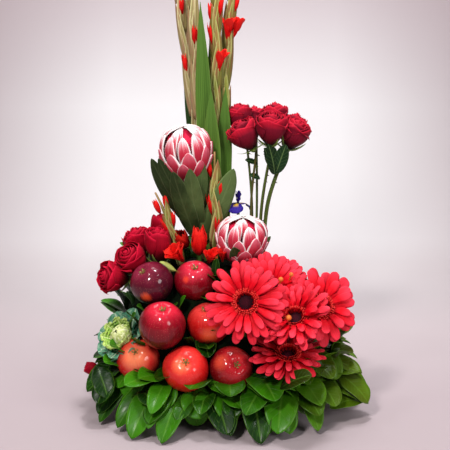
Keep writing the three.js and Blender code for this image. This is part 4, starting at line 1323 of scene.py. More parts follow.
@dataclass(frozen=True)
class Bloom:
    """A gladiolus bloom: six ruffled petals.

    radius is the reach of its tips, height its length from throat to tips, curl how far the petals bend,
    inwards where it is positive, and width the petals' width as a share of the radius.
    """

    radius: float
    height: float
    curl: float = -40.0
    width: float = 1.1
    outline: Outline = Outline.FAN

    def add(self, form: Form, pose: Pose, seed: int) -> None:
        """Adds the bloom to a mesh.

        Args:
            form: The mesh.
            pose: Where its middle stands and which way it opens.
            seed: The source of its unevenness.
        """
        rng = np.random.default_rng(seed)
        for i in range(6):
            inner = i % 2
            angle = math.pi * i / 3 + rng.normal(0, 0.14)
            cos, sin = math.cos(angle), math.sin(angle)
            reach = self.radius * rng.uniform(0.80, 1.15) * (0.85 if inner else 1.1)
            tip = self.height * (0.46 + 0.09 * rng.uniform(-1, 1))
            start = 0.14 * self.radius
            blade = Blade((start * cos, start * sin, -0.5 * self.height), (reach * cos, reach * sin, tip),
                          self.radius * self.width * rng.uniform(0.85, 1.15), self.outline, bend=self.curl,
                          cup=0.4, wave=self.radius * 0.12, ripples=15.0, phase=rng.uniform(0, 6),
                          twist=rng.uniform(-20, 20), upper=(-cos, -sin, 0.5))
            # Painted shade: each petal darkens towards its foot in the throat of the bloom.
            depth = 0.5 * (1 - np.linspace(0, 1, 15)[:, None]) ** 2
            form.sheet(blade.grid(15, 9), 0.0006, rng.uniform(-1, 1), depth, pose)


class BudStage(Enum):
    """How far a gladiolus bud has opened, with the bloom of each stage."""

    SHOWING = Bloom(0.0034, 0.027, 34.0, 2.2, Outline.SPINDLE)
    LONG = Bloom(0.0038, 0.036, 24.0, 2.0, Outline.SPINDLE)
    OPEN = Bloom(0.0130, 0.046)


@dataclass(frozen=True)
class Gladiolus:
    """A gladiolus spike: a stem with buds in two ranks, each in its pair of sheaths.

    red names the buds that show their petals, by the level of each.
    """

    number: int
    foot: Point
    tip: Point
    lowest: float = 0.43
    bow: float = 0.0
    sheathed: bool = True
    red: tuple[tuple[float, BudStage, float], ...] = ()
    stem: float = 0.0034
    finish: Finish = Finishes.SPATHE
    spacing: float = 0.047
    bud_length: float = 0.104
    bud_width: float = 0.0225

    def _on_stem(self, level: float) -> Grid:
        """Returns the point of the stem's middle line at a level."""
        low, high = np.array(self.foot), np.array(self.tip)
        t = (level - low[2]) / (high[2] - low[2])
        point = low + (high - low) * t
        point[0] += self.bow * (1 - (2 * t - 1) ** 2)
        return point

    def _stem_form(self, form: Form) -> None:
        """Adds the stem."""
        levels = np.linspace(self.foot[2], self.tip[2] - 0.006, 26)
        path = np.array([self._on_stem(level) for level in levels])
        form.rod(path, [self.stem * 1.2, self.stem, self.stem * 0.45], 9)

    def _sheaths(self, form: Form) -> None:
        """Adds the long sheaths that wrap the stem below its buds."""
        rise = unit(np.array(self.tip) - np.array(self.foot))
        for i in range(6):
            level = self.foot[2] + 0.004 + i * (self.lowest - self.foot[2]) / 6
            base = self._on_stem(level)
            angle = math.pi * i + 0.5 * uneven(i, self.number)
            out = np.array([math.cos(angle), math.sin(angle), 0.0])
            start = base + out * self.stem * 0.9
            end = base + rise * (0.080 + 0.02 * uneven(i, 3)) + out * 0.0075
            blade = Blade(tuple(start), tuple(end), 0.0185, Outline.SWORD, bend=-6, cup=-0.55,
                          upper=tuple(out))
            form.sheet(blade.grid(13, 7), 0.0009, uneven(i, self.number + 4))

    def _buds(self) -> list[tuple[Grid, Grid, Grid, float, int]]:
        """Returns the base, rise, outward direction, size and number of every bud."""
        top = self.tip[2] - 0.8 * (1 - 0.35) * self.bud_length
        count = max(3, round((top - self.lowest) / self.spacing))
        rise = unit(np.array(self.tip) - np.array(self.foot))
        rows = []
        for i in range(count):
            share = i / count
            level = self.lowest + (top - self.lowest) * share
            angle = -math.pi / 2 + 0.75 * (-1) ** i + 0.15 * uneven(i, self.number)
            out = np.array([math.cos(angle), math.sin(angle), 0.0])
            rows.append((self._on_stem(level), rise, out, 1 - 0.35 * share, i))
        return rows

    def _bud(self, form: Form, base: Grid, rise: Grid, out: Grid, length: float, number: int) -> None:
        """Adds one bud: two sheaths round a closed core.

        Args:
            form: The mesh that it is added to.
            base: Where it leaves the stem.
            rise: The stem's direction.
            out: The side of the stem that it stands on.
            length: Its length.
            number: Its number, the source of its unevenness.
        """
        size = length / self.bud_length
        end = base + rise * length + out * 0.0100 * size
        side = np.cross(rise, out) * (-1) ** number
        for layer, (reach, lean) in enumerate(((1.0, 0.0), (0.62, 0.40))):
            face = unit(out + lean * side)
            start = base + face * self.stem * 0.8
            tip = base + (end - base) * reach + face * 0.0012
            blade = Blade(tuple(start), tuple(tip), self.bud_width * size * (1 - 0.12 * layer), Outline.SHEATH,
                          bend=-4 - 3 * layer, cup=-0.20, upper=tuple(face), twist=3 * uneven(number, layer))
            form.sheet(blade.grid(13, 7), 0.0007, uneven(number, self.number + layer))
        middle = base + (end - base) * 0.5 + out * 0.001
        core = curve([tuple(base), tuple(middle), tuple(end - rise * 0.012)], 4)
        form.rod(core, np.array([0.6, 1.0, 1.0, 0.8, 0.2]) * 0.0042 * size, 7, 0.4)

    def _spathes(self) -> Form:
        """Makes the stem with the sheaths of every bud, and the closed buds in them."""
        form = Form()
        self._stem_form(form)
        if self.sheathed:
            self._sheaths(form)
        for base, rise, out, size, i in self._buds():
            self._bud(form, base, rise, out, self.bud_length * size * (1 + 0.08 * uneven(i, 2)), i)
        rise = unit(np.array(self.tip) - np.array(self.foot))
        for i, (level, stage, side) in enumerate(self.red):
            out = np.array([math.cos(side), math.sin(side), 0.0])
            height = stage.value.height
            self._bud(form, self._on_stem(level - 0.8 * height), rise, out, 0.9 * height, i + 20)
        return form

    def _petals(self) -> Form:
        """Makes the red petals of the buds that show them."""
        form = Form()
        rise = unit(np.array(self.tip) - np.array(self.foot))
        for i, (level, stage, side) in enumerate(self.red):
            out = np.array([math.cos(side), math.sin(side), 0.0])
            is_open = stage is BudStage.OPEN
            centre = self._on_stem(level) + out * (0.009 if is_open else 0.0085)
            pose = Pose(tuple(centre), tuple(rise + out * (0.30 if is_open else 0.14)), 40.0 * i)
            stage.value.add(form, pose, 700 + 10 * self.number + i)
        return form

    def build(self) -> None:
        """Builds the spike."""
        node = f"gladiolus_{self.number}"
        self._spathes().piece(f"{node}_spike", self.finish, node)
        if self.red:
            self._petals().piece(f"{node}_petals", Finishes.GLADIOLUS_RED, node)


@dataclass(frozen=True)
class SwordLeaf:
    """A long ribbed leaf that stands among the spikes."""

    number: int
    foot: Point
    tip: Point
    width: float
    finish: Finish = Finishes.SWORD
    thickness: float = 0.0018

    def build(self) -> None:
        """Builds the leaf."""
        index = self.number - 1
        blade = Blade(self.foot, self.tip, self.width, Outline.SWORD, bend=5 * uneven(index, 2), fold=0.10,
                      twist=14 * uneven(index, 6), wave=0.0008, ripples=11.0, ribs=4, ridge=0.0003,
                      upper=(0.2 * uneven(index, 4), -1.0, 0.0))
        form = Form()
        form.sheet(blade.grid(61, 13), self.thickness, uneven(index, 3))
        node = f"sword_leaf_{self.number}"
        form.piece(f"{node}_blade", self.finish, node)


@dataclass(frozen=True)
class Floret:
    """A red gladiolus bloom low in the arrangement."""

    number: int
    place: Point
    facing: Point
    radius: float
    height: float
    curl: float = -30.0
    finish: Finish = Finishes.GLADIOLUS_RED

    def build(self) -> None:
        """Builds the bloom."""
        form = Form()
        node = f"floret_{self.number}"
        pose = Pose(self.place, self.facing, 20.0 * (self.number - 1))
        outline = Outline.FAN if self.curl < 0 else Outline.LEAF
        bloom = Bloom(self.radius * (1.1 if self.curl < 0 else 0.55), self.height, self.curl,
                      1.2 if self.curl < 0 else 3.0, outline)
        for layer in range(2):
            bloom.add(form, pose, 900 + self.number + 50 * layer)
        form.piece(f"{node}_petals", self.finish, node)


@dataclass(frozen=True)
class Iris:
    """An iris: three falls with a yellow blotch, three standards, and a stem of its own."""

    place: Point = (0.022, 0.010, 0.334)
    foot: Point = (0.022, 0.004, 0.206)
    stem: float = 0.0024
    fall: tuple[float, float, float] = (0.0225, -0.013, 0.026)
    standard: tuple[float, float, float] = (0.004, 0.022, 0.0065)

    def _petals(self) -> Form:
        """Makes the petals."""
        form = Form()
        x, y, z = self.place
        for i in range(6):
            angle = math.radians(194 + 60 * i)
            cos, sin = math.cos(angle), math.sin(angle)
            hangs = i % 2 == 1
            reach, rise, width = self.fall if hangs else self.standard
            blade = Blade((x, y, z - 0.001), (x + reach * cos, y + reach * sin, z + rise), width * 1.1,
                          Outline.FAN, bend=-120 if hangs else 30, cup=-0.10 if hangs else 0.3,
                          wave=0.0012, ripples=18.0, phase=i, upper=(0, 0, 1) if hangs else (-cos, -sin, 0))
            form.sheet(blade.grid(15, 9), 0.0006, uneven(i, 1), 1.0 if hangs else 0.0)
        return form

    def build(self) -> None:
        """Builds the flower."""
        self._petals().piece("iris_petals", Finishes.IRIS, "iris")
        x, y, z = self.place
        form = Form()
        middle = (x, y - 0.002, (z + self.foot[2]) / 2)
        form.rod(curve([(x, y, z + 0.002), middle, self.foot], 8), self.stem, 9)
        form.piece("iris_stem", Finishes.GREEN_STEM, "iris")


@dataclass(frozen=True)
class KaleRing:
    """A ring of kale leaves: number, length, width, height of the tips, curl, frill and finish."""

    count: int
    length: float
    width: float
    rise: float
    bend: float
    wave: float
    ripples: float
    finish: Finish


@dataclass(frozen=True)
class Kale:
    """A head of kale: smooth blue-green leaves outside, pale frilled ones within, and a closed heart."""

    place: Point = (-0.165, -0.078, 0.129)
    facing: Point = (-0.47, -0.64, 0.60)
    heart: float = 0.0165
    heart_offset: Point = (0.006, -0.004, 0.012)

    RINGS = (
        KaleRing(8, 0.047, 0.038, 0.004, 40, 0.0026, 15.0, Finishes.KALE_OUTER),
        KaleRing(8, 0.038, 0.031, 0.011, 46, 0.0040, 26.0, Finishes.KALE_OUTER),
        KaleRing(9, 0.026, 0.021, 0.021, 52, 0.0048, 44.0, Finishes.KALE_FRILL),
    )

    def _ring(self, ring: KaleRing, order: int) -> None:
        """Builds one ring of leaves."""
        form = Form()
        pose = Pose(self.place, self.facing)
        for i in range(ring.count):
            angle = 2 * math.pi * (i + 0.5 * order) / ring.count + 0.15 * uneven(i, order)
            cos, sin = math.cos(angle), math.sin(angle)
            out = ring.length * (1 + 0.12 * uneven(i, order + 5))
            blade = Blade((0.003 * cos, 0.003 * sin, -0.006), (out * cos, out * sin, ring.rise), ring.width,
                          Outline.FAN, bend=ring.bend, fold=0.15, cup=0.2, wave=ring.wave,
                          ripples=ring.ripples, phase=2 * i, twist=20 * uneven(i, order + 2))
            form.sheet(blade.grid(35, 17), 0.0010, uneven(i, order), pose=pose)
        form.piece(f"kale_ring_{order + 1}", ring.finish, "kale")

    def _heart_leaves(self) -> None:
        """Builds the closed heart from leaves that wrap round it."""
        form = Form()
        pose = Pose(self.place, self.facing)
        middle = np.array(self.heart_offset)
        for i in range(9):
            layer = i // 3
            turn = np.linspace(1.9, 0.12 + 0.1 * layer, 19)[:, None]
            s = np.linspace(-1.0, 1.0, 17)[None, :]
            share = np.linspace(0.0, 1.0, 19)[:, None]
            angle = 2.1 * i + 0.4 * layer + s * (1.25 - 0.45 * share ** 3)
            radius = self.heart * (1 - 0.05 * layer) * (1 + 0.03 * np.cos(9 * math.pi * s))
            radius = radius + 0.0016 * np.abs(s) ** 3 + 0.0010 * np.sin(30 * share + 4 * s) * np.abs(s)
            grid = np.stack([radius * np.sin(turn) * np.cos(angle), radius * np.sin(turn) * np.sin(angle),
                             radius * np.cos(turn) + 0 * s], axis=-1)
            form.sheet(grid + middle, 0.0009, uneven(i, 3), pose=pose)
        form.turned([(0.006, -0.022), (0.010, -0.006), (0.006, 0.004)], 14, depth=0.9, pose=pose)
        form.piece("kale_heart", Finishes.KALE_HEART, "kale")

    def build(self) -> None:
        """Builds the head."""
        for order, ring in enumerate(self.RINGS):
            self._ring(ring, order)
        self._heart_leaves()


@dataclass(frozen=True)
class Buds:
    """The single closed buds: a yellow-green one among the fruit, and small orange ones."""

    lime: Leaf = ((-0.104, -0.068, 0.252), (-0.077, -0.074, 0.238), 0.011)
    orange: tuple[Leaf, ...] = (
        ((0.099, -0.161, 0.188), (0.095, -0.173, 0.189), 0.0045),
        ((0.084, -0.110, 0.222), (0.086, -0.125, 0.237), 0.0040),
        ((0.099, -0.104, 0.226), (0.102, -0.122, 0.244), 0.0035),
    )

    def _lime(self) -> None:
        """Builds the yellow-green bud from a body and two clasping sepals."""
        base, tip, width = self.lime
        form = Form()
        start, way = np.array(base), np.array(tip) - np.array(base)
        path = start + way * np.linspace(0, 1, 12)[:, None]
        form.rod(path, width / 2 * np.array([0.25, 0.7, 0.95, 1.0, 0.92, 0.72, 0.42, 0.12]), 12)
        for side in (-1.0, 1.0):
            blade = Blade(base, tuple(start + way * 0.8 + np.array([0, 0, 0.004 * side])), width * 0.9,
                          Outline.SPINDLE, bend=-30 * side, cup=-0.5 * side)
            form.sheet(blade.grid(11, 7), 0.0006, side)
        form.piece("lime_bud_body", Finishes.LIME, "lime_bud")

    def build(self) -> None:
        """Builds the buds."""
        self._lime()
        for number, (foot, head, radius) in enumerate(self.orange, 1):
            form = Form()
            start, end = np.array(foot), np.array(head)
            way = unit(end - start)
            form.rod(np.linspace(start, end, 4), 0.0012, 7, 0.5)
            body = end + way * radius * np.array([-1.0, -0.7, -0.3, 0.2, 0.65, 1.0])[:, None]
            form.rod(body, radius * np.array([0.3, 0.78, 1.0, 0.96, 0.6, 0.12]), 12)
            form.piece(f"orange_bud_{number}_head", Finishes.ORANGE, f"orange_bud_{number}")


@dataclass(frozen=True)
class Section:
    """A level section of the mound: its height, its middle, and half its width across and front to back."""

    z: float
    x: float
    y: float
    across: float
    deep: float


@dataclass(frozen=True)
class LeafRing:
    """A ring of leaves on the mound: level, number, first and last heading and pitch in degrees.

    length and width are the mean size of its leaves, out how far their bases stand out of the mound's
    side and turn how far they turn aside, in degrees.
    """

    z: float
    count: int
    start: float
    end: float
    pitch: float
    length: float = 0.066
    out: float = -0.009
    turn: float = 24.0
    width: float = 0.032


class Foliage:
    """The mound and all its leaves: the collar in front, the rings round it and the gap fillers."""

    INSET = 0.009
    RIM = 0.062

    MOUND = (
        Section(0.008, 0.0, 0.0, 0.112, 0.092),
        Section(0.0626, 0.0, 0.0, 0.138, 0.116),
        Section(0.0645, 0.0, 0.0, 0.168, 0.142),
        Section(0.084, 0.0, 0.0, 0.174, 0.144),
        Section(0.104, -0.005, -0.002, 0.166, 0.122),
        Section(0.130, -0.018, 0.0, 0.155, 0.116),
        Section(0.163, -0.030, 0.003, 0.135, 0.114),
        Section(0.200, -0.038, 0.004, 0.118, 0.098),
        Section(0.226, -0.030, 0.005, 0.095, 0.058),
        Section(0.238, -0.020, 0.005, 0.070, 0.040),
    )
    COLLAR: tuple[Leaf, ...] = (
        ((-0.150, -0.049, 0.087), (-0.219, -0.110, 0.050), 0.041),
        ((-0.146, -0.058, 0.072), (-0.201, -0.122, 0.018), 0.034),
        ((-0.140, -0.066, 0.070), (-0.198, -0.128, 0.006), 0.023),
        ((-0.112, -0.104, 0.069), (-0.166, -0.160, 0.010), 0.030),
        ((-0.100, -0.110, 0.069), (-0.142, -0.188, 0.004), 0.039),
        ((-0.092, -0.112, 0.069), (-0.116, -0.190, 0.021), 0.025),
        ((-0.088, -0.112, 0.074), (-0.111, -0.192, 0.045), 0.028),
        ((-0.098, -0.114, 0.070), (-0.133, -0.154, 0.088), 0.034),
        ((-0.106, -0.108, 0.072), (-0.153, -0.164, 0.080), 0.036),
        ((-0.062, -0.111, 0.069), (-0.095, -0.205, 0.004), 0.036),
        ((-0.084, -0.112, 0.069), (-0.115, -0.190, 0.029), 0.034),
        ((-0.026, -0.124, 0.070), (-0.037, -0.192, 0.044), 0.030),
        ((-0.028, -0.126, 0.082), (0.003, -0.172, 0.070), 0.021),
        ((-0.024, -0.120, 0.069), (0.004, -0.197, 0.014), 0.039),
        ((-0.014, -0.112, 0.069), (0.009, -0.196, 0.012), 0.032),
        ((0.040, -0.124, 0.069), (0.054, -0.207, 0.004), 0.039),
        ((0.060, -0.118, 0.069), (0.066, -0.194, 0.014), 0.032),
        ((0.070, -0.118, 0.072), (0.031, -0.200, 0.046), 0.039),
        ((0.046, -0.122, 0.088), (0.076, -0.194, 0.066), 0.048),
        ((0.096, -0.110, 0.074), (0.079, -0.198, 0.016), 0.046),
        ((0.112, -0.106, 0.076), (0.146, -0.176, 0.052), 0.041),
        ((0.128, -0.094, 0.069), (0.143, -0.168, 0.008), 0.030),
        ((0.150, -0.064, 0.070), (0.229, -0.104, 0.028), 0.039),
        ((0.150, -0.054, 0.084), (0.231, -0.092, 0.032), 0.044),
        ((0.146, -0.060, 0.098), (0.220, -0.090, 0.074), 0.028),
        ((0.140, -0.070, 0.108), (0.167, -0.140, 0.082), 0.039),
        ((0.150, -0.040, 0.092), (0.206, -0.086, 0.108), 0.028),
        ((0.140, -0.044, 0.106), (0.194, -0.094, 0.160), 0.039),
    )
    GAPS: tuple[Leaf, ...] = (
        ((-0.034, -0.112, 0.126), (-0.024, -0.146, 0.132), 0.022),
        ((-0.010, -0.078, 0.200), (0.002, -0.116, 0.222), 0.018),
        ((-0.016, -0.066, 0.214), (-0.008, -0.104, 0.240), 0.016),
    )
    TUCKED: tuple[Leaf, ...] = (
        ((-0.075, -0.088, 0.155), (-0.061, -0.114, 0.208), 0.020),
        ((-0.118, -0.100, 0.165), (-0.136, -0.124, 0.194), 0.022),
        ((-0.090, -0.100, 0.165), (-0.073, -0.120, 0.198), 0.018),
        ((-0.134, -0.084, 0.143), (-0.153, -0.116, 0.181), 0.026),
        ((-0.005, -0.074, 0.207), (-0.027, -0.104, 0.239), 0.018),
        ((-0.016, -0.080, 0.217), (-0.013, -0.086, 0.262), 0.012),
        ((-0.055, -0.112, 0.126), (-0.060, -0.140, 0.148), 0.016),
        ((-0.020, -0.112, 0.126), (-0.018, -0.138, 0.160), 0.016),
        ((-0.135, -0.100, 0.116), (-0.143, -0.128, 0.144), 0.020),
        ((-0.040, -0.070, 0.190), (-0.020, -0.112, 0.201), 0.020),
        ((-0.164, -0.100, 0.113), (-0.180, -0.118, 0.130), 0.026),
        ((-0.172, -0.090, 0.088), (-0.191, -0.112, 0.100), 0.028),
        ((0.170, -0.070, 0.103), (0.192, -0.092, 0.143), 0.032),
        ((0.161, -0.080, 0.084), (0.178, -0.112, 0.117), 0.034),
        ((0.172, -0.070, 0.074), (0.216, -0.100, 0.080), 0.034),
        ((0.155, -0.060, 0.112), (0.206, -0.074, 0.148), 0.028),
        ((-0.154, -0.060, 0.187), (-0.163, -0.090, 0.208), 0.010),
        ((-0.149, -0.062, 0.178), (-0.153, -0.096, 0.211), 0.010),
        ((-0.016, -0.040, 0.236), (-0.005, -0.084, 0.226), 0.012),
        ((-0.130, -0.140, 0.062), (-0.104, -0.178, 0.052), 0.028),
        ((-0.203, -0.108, 0.092), (-0.182, -0.140, 0.051), 0.030),
        ((0.039, -0.146, 0.087), (0.081, -0.182, 0.064), 0.036),
        ((0.078, -0.142, 0.052), (0.027, -0.190, 0.048), 0.030),
        ((0.116, -0.142, 0.062), (0.144, -0.178, 0.037), 0.034),
        ((0.182, -0.088, 0.072), (0.228, -0.108, 0.031), 0.036),
        ((0.230, -0.092, 0.030), (0.166, -0.118, 0.026), 0.026),
        ((0.170, -0.076, 0.105), (0.177, -0.104, 0.068), 0.024),
        ((0.087, -0.142, 0.062), (0.098, -0.186, 0.011), 0.030),
        ((-0.029, -0.146, 0.079), (0.000, -0.176, 0.068), 0.014),
        ((-0.005, -0.142, 0.058), (0.026, -0.180, 0.049), 0.024),
        ((-0.020, -0.142, 0.068), (-0.039, -0.184, 0.044), 0.024),
        ((-0.054, -0.142, 0.058), (-0.071, -0.184, 0.031), 0.026),
        ((-0.092, -0.142, 0.055), (-0.118, -0.188, 0.028), 0.030),
        ((-0.182, -0.108, 0.082), (-0.198, -0.140, 0.041), 0.030),
        ((-0.035, -0.096, 0.138), (-0.025, -0.142, 0.117), 0.028),
        ((0.082, -0.196, 0.086), (0.128, -0.208, 0.112), 0.030),
        ((-0.012, -0.140, 0.056), (0.002, -0.176, 0.030), 0.030),
        ((0.018, -0.142, 0.060), (0.010, -0.178, 0.034), 0.032),
        ((0.150, -0.104, 0.064), (0.172, -0.148, 0.040), 0.034),
        ((-0.147, -0.098, 0.147), (-0.139, -0.112, 0.180), 0.018),
    )
    RINGS = (
        LeafRing(0.070, 12, -28, 208, -40),
        LeafRing(0.080, 10, -20, 200, -12),
        LeafRing(0.096, 8, -10, 206, 14),
        LeafRing(0.120, 6, -4, 176, 34),
        LeafRing(0.146, 5, 10, 168, 46),
        LeafRing(0.176, 4, 18, 170, 54),
        LeafRing(0.206, 4, 60, 158, 58),
    )
    FILLERS = (
        LeafRing(0.074, 14, -34, 214, -34),
        LeafRing(0.088, 12, -24, 204, -6, 0.058),
        LeafRing(0.108, 10, -14, 200, 20, 0.056),
        LeafRing(0.134, 9, -6, 172, 38, 0.054),
        LeafRing(0.160, 8, 4, 166, 46, 0.052),
        LeafRing(0.190, 7, 14, 160, 54, 0.050),
        LeafRing(0.214, 6, 54, 160, 60, 0.048),
        LeafRing(0.232, 5, -20, 200, 66, 0.034, -0.020),
    )
    SKIRT = (
        LeafRing(0.070, 13, -170, -10, -62, 0.056, 0.002, 48.0, 0.040),
        LeafRing(0.073, 12, -166, -14, -40, 0.052, 0.002, 48.0, 0.040),
        LeafRing(0.080, 11, -162, -18, -18, 0.048, -0.002, 48.0, 0.038),
        LeafRing(0.090, 6, -62, -12, -6, 0.050, -0.002, 40.0, 0.038),
        LeafRing(0.100, 5, -60, -8, 14, 0.046, -0.002, 34.0, 0.036),
        LeafRing(0.082, 4, -176, -150, -8, 0.046, -0.002, 34.0, 0.036),
    )

    def _section(self, z: float) -> Section:
        """Returns the mound's section at a level."""
        levels = [section.z for section in self.MOUND]
        values = [np.interp(z, levels, [getattr(s, key) for s in self.MOUND]) for key in ("x", "y", "across", "deep")]
        return Section(z, *map(float, values))

    def _ring_leaf(self, ring: LeafRing, heading: float, number: int) -> tuple[Leaf, Point]:
        """Places a leaf that grows out of the mound.

        Args:
            ring: The ring that it stands in.
            heading: Its heading in degrees.
            number: Its number, the source of its unevenness.

        Returns:
            Its base, tip and width, and the side that its face is turned to.
        """
        section = self._section(ring.z)
        cos, sin = math.cos(math.radians(heading)), math.sin(math.radians(heading))
        base = (section.x + (section.across + ring.out) * cos, section.y + (section.deep + ring.out) * sin,
                ring.z + 0.003 * uneven(number, 6))
        turn = math.radians(heading + ring.turn * uneven(number, 7))
        tilt = math.radians(ring.pitch + 0.5 * ring.turn * uneven(number, 8))
        length = ring.length * (1 + 0.14 * uneven(number, 9))
        tip = (base[0] + length * math.cos(tilt) * math.cos(turn),
               base[1] + length * math.cos(tilt) * math.sin(turn),
               max(0.007, base[2] + length * math.sin(tilt)))
        upper = (-0.5 * cos * math.sin(tilt), -0.5 * sin * math.sin(tilt), 1.0)
        return (base, tip, ring.width * (1 + 0.12 * uneven(number, 10))), upper

    def _rooted(self, base: Point) -> Point:
        """Returns the base of a leaf moved inside the mound, above the basket's rim."""
        level = max(base[2], self.RIM + 0.008)
        section = self._section(level)
        dx, dy = base[0] - section.x, base[1] - section.y
        reach = math.hypot(dx / (section.across - self.INSET), dy / (section.deep - self.INSET))
        share = 1 / max(1.0, reach)
        return (section.x + dx * share, section.y + dy * share, level)

    def _all_leaves(self) -> list[tuple[Leaf, Point]]:
        """Returns every leaf with the side that its face is turned to."""
        front = (0.0, -0.45, 1.0)
        leaves = [((self._rooted(base), tip, width), front) for base, tip, width in self.COLLAR + self.GAPS]
        for offset, rings in ((0, self.RINGS), (400, self.FILLERS), (900, self.SKIRT)):
            for ring in rings:
                for i in range(ring.count):
                    share = (i + 0.3 * uneven(i, ring.z * 1000)) / (ring.count - 1)
                    heading = ring.start + (ring.end - ring.start) * share
                    leaves.append(self._ring_leaf(ring, heading, len(leaves) + offset))
        return leaves + [(leaf, front) for leaf in self.TUCKED]

    def _leaves(self) -> Form:
        """Makes the leaves and their short stalks."""
        form = Form()
        for i, ((base, tip, width), upper) in enumerate(self._all_leaves()):
            blade = Blade(base, tip, width * 1.16, Outline.OVAL, bend=-36 + 12 * uneven(i, 21), fold=0.12,
                          cup=0.10, wave=0.0016, ripples=9.0, phase=5 * uneven(i, 22),
                          twist=26 * uneven(i, 23), upper=upper)
            # Painted shade: each leaf darkens towards its base, where it goes in among the others.
            depth = 0.75 * (1 - np.linspace(0, 1, 13)[:, None]) ** 2
            form.sheet(blade.grid(13, 9), 0.0009, uneven(i, 24), depth)
        return form

    def _core(self) -> Form:
        """Makes the mossy mound."""
        levels = np.concatenate([np.linspace(0.010, 0.062, 6), np.linspace(0.0645, 0.237, 34)])
        angle = np.linspace(0.0, 2 * math.pi, 96, endpoint=False)
        rings = []
        for row, z in enumerate(levels):
            s = self._section(float(z))
            rough = 1 + 0.012 * np.sin(17 * angle + row) + 0.010 * np.sin(31 * angle - 2.3 * row)
            inner = 0.985 * rough
            rings.append(np.stack([s.x + s.across * inner * np.cos(angle), s.y + s.deep * inner * np.sin(angle),
                                   z + 0.002 * np.sin(9 * angle + 5 * row)], axis=-1))
        form = Form()
        form.ring_form(np.array(rings))
        return form

    def build(self) -> None:
        """Builds the mound and its leaves."""
        self._core().piece("mound_moss_painted_shade", Finishes.MOSS_PAINTED_SHADE, "foliage")
        self._leaves().piece("collar_leaves", Finishes.GLOSSY_LEAF, "foliage")


@dataclass(frozen=True)
class Basket:
    """A low oval tub woven from dark willow, with upright stakes and a corded rim."""

    half_width: float = 0.152
    half_depth: float = 0.130
    height: float = 0.062
    wall: float = 0.005
    foot_share: float = 0.82
    stakes: int = 44
    weavers: int = 13
    weaver: float = 0.0021

    def _ring(self, z: float, out: Grid | float, count: int) -> Grid:
        """Returns points round the wall's middle at a level, moved outwards by out."""
        angle = np.linspace(0.0, 2 * math.pi, count, endpoint=False)
        share = self.foot_share + (1 - self.foot_share) * z / self.height
        across = self.half_width * share - self.wall / 2 + out
        deep = self.half_depth * share - self.wall / 2 + out
        return np.stack([across * np.cos(angle), deep * np.sin(angle), np.full(count, z)], axis=-1)

    def _hoop(self, form: Form, middle: Grid, radius: float, sides: int, tint: float) -> None:
        """Adds a closed hoop along points that come back to their start."""
        along = unit(np.roll(middle, -1, axis=0) - np.roll(middle, 1, axis=0))
        out = unit(np.cross(along, [0.0, 0.0, 1.0]))
        up = np.cross(out, along)
        angle = np.linspace(0.0, 2 * math.pi, sides, endpoint=False)
        tube = middle[:, None] + radius * (np.cos(angle)[None, :, None] * out[:, None]
                                           + np.sin(angle)[None, :, None] * up[:, None])
        count = len(middle)
        index = np.arange(count * sides).reshape(count, sides)
        across, down = np.roll(index, -1, axis=1), np.roll(index, -1, axis=0)
        faces = np.stack([index, across, np.roll(across, -1, axis=0), down], axis=-1).reshape(-1, 4)
        marks = np.zeros((count, sides, 7))
        marks[..., 2] = tint
        marks[..., 4] = np.cos(angle)
        marks[..., 5] = np.linspace(0, 20, count)[:, None]
        marks[..., 6] = tint
        form._add(tube, faces, np.full(len(faces), True), marks)

    def build(self) -> None:
        """Builds the basket."""
        form = Form()
        count = self.stakes * 4
        angle = np.linspace(0.0, 2 * math.pi, count, endpoint=False)
        for row in range(self.weavers):
            z = 0.005 + (self.height - 0.011) * row / (self.weavers - 1)
            out = 0.0016 * np.sin(self.stakes / 2 * angle + math.pi * row)
            self._hoop(form, self._ring(z, out, count), self.weaver, 6, uneven(row, 1))
        low, high = self._ring(0.003, 0.0, self.stakes), self._ring(self.height - 0.003, 0.0, self.stakes)
        for i in range(self.stakes):
            form.rod(np.linspace(low[i], high[i], 8), 0.0017, 6, uneven(i, 2))
        for strand in range(3):
            phase = 2 * math.pi * strand / 3
            middle = self._ring(self.height - 0.0032, 0.0012 * np.cos(36 * angle + phase), count)
            middle[:, 2] += 0.0012 * np.sin(36 * angle + phase)
            self._hoop(form, middle, 0.0018, 7, uneven(strand, 3))
        share = self.foot_share
        disc = [(1.0, 0.0), (1.0, 0.003), (0.96, 0.0052), (0.5, 0.0056), (0.05, 0.0056)]
        turn = np.linspace(0.0, 2 * math.pi, 72, endpoint=False)
        rings = np.array([
            np.stack([self.half_width * share * r * np.cos(turn), self.half_depth * share * r * np.sin(turn),
                      np.full(72, z)], axis=-1)
            for r, z in disc
        ])
        form.ring_form(rings, 0.2)
        form.piece("basket_weave", Finishes.WICKER, "basket")


@dataclass(frozen=True)
class Light:
    """A round soft light: its place, size, power, colour and the point that it is turned to."""

    name: str
    place: Point
    size: float
    power: float
    code: str = "ffffff"
    aim: Point = (0.0, 0.0, 0.25)


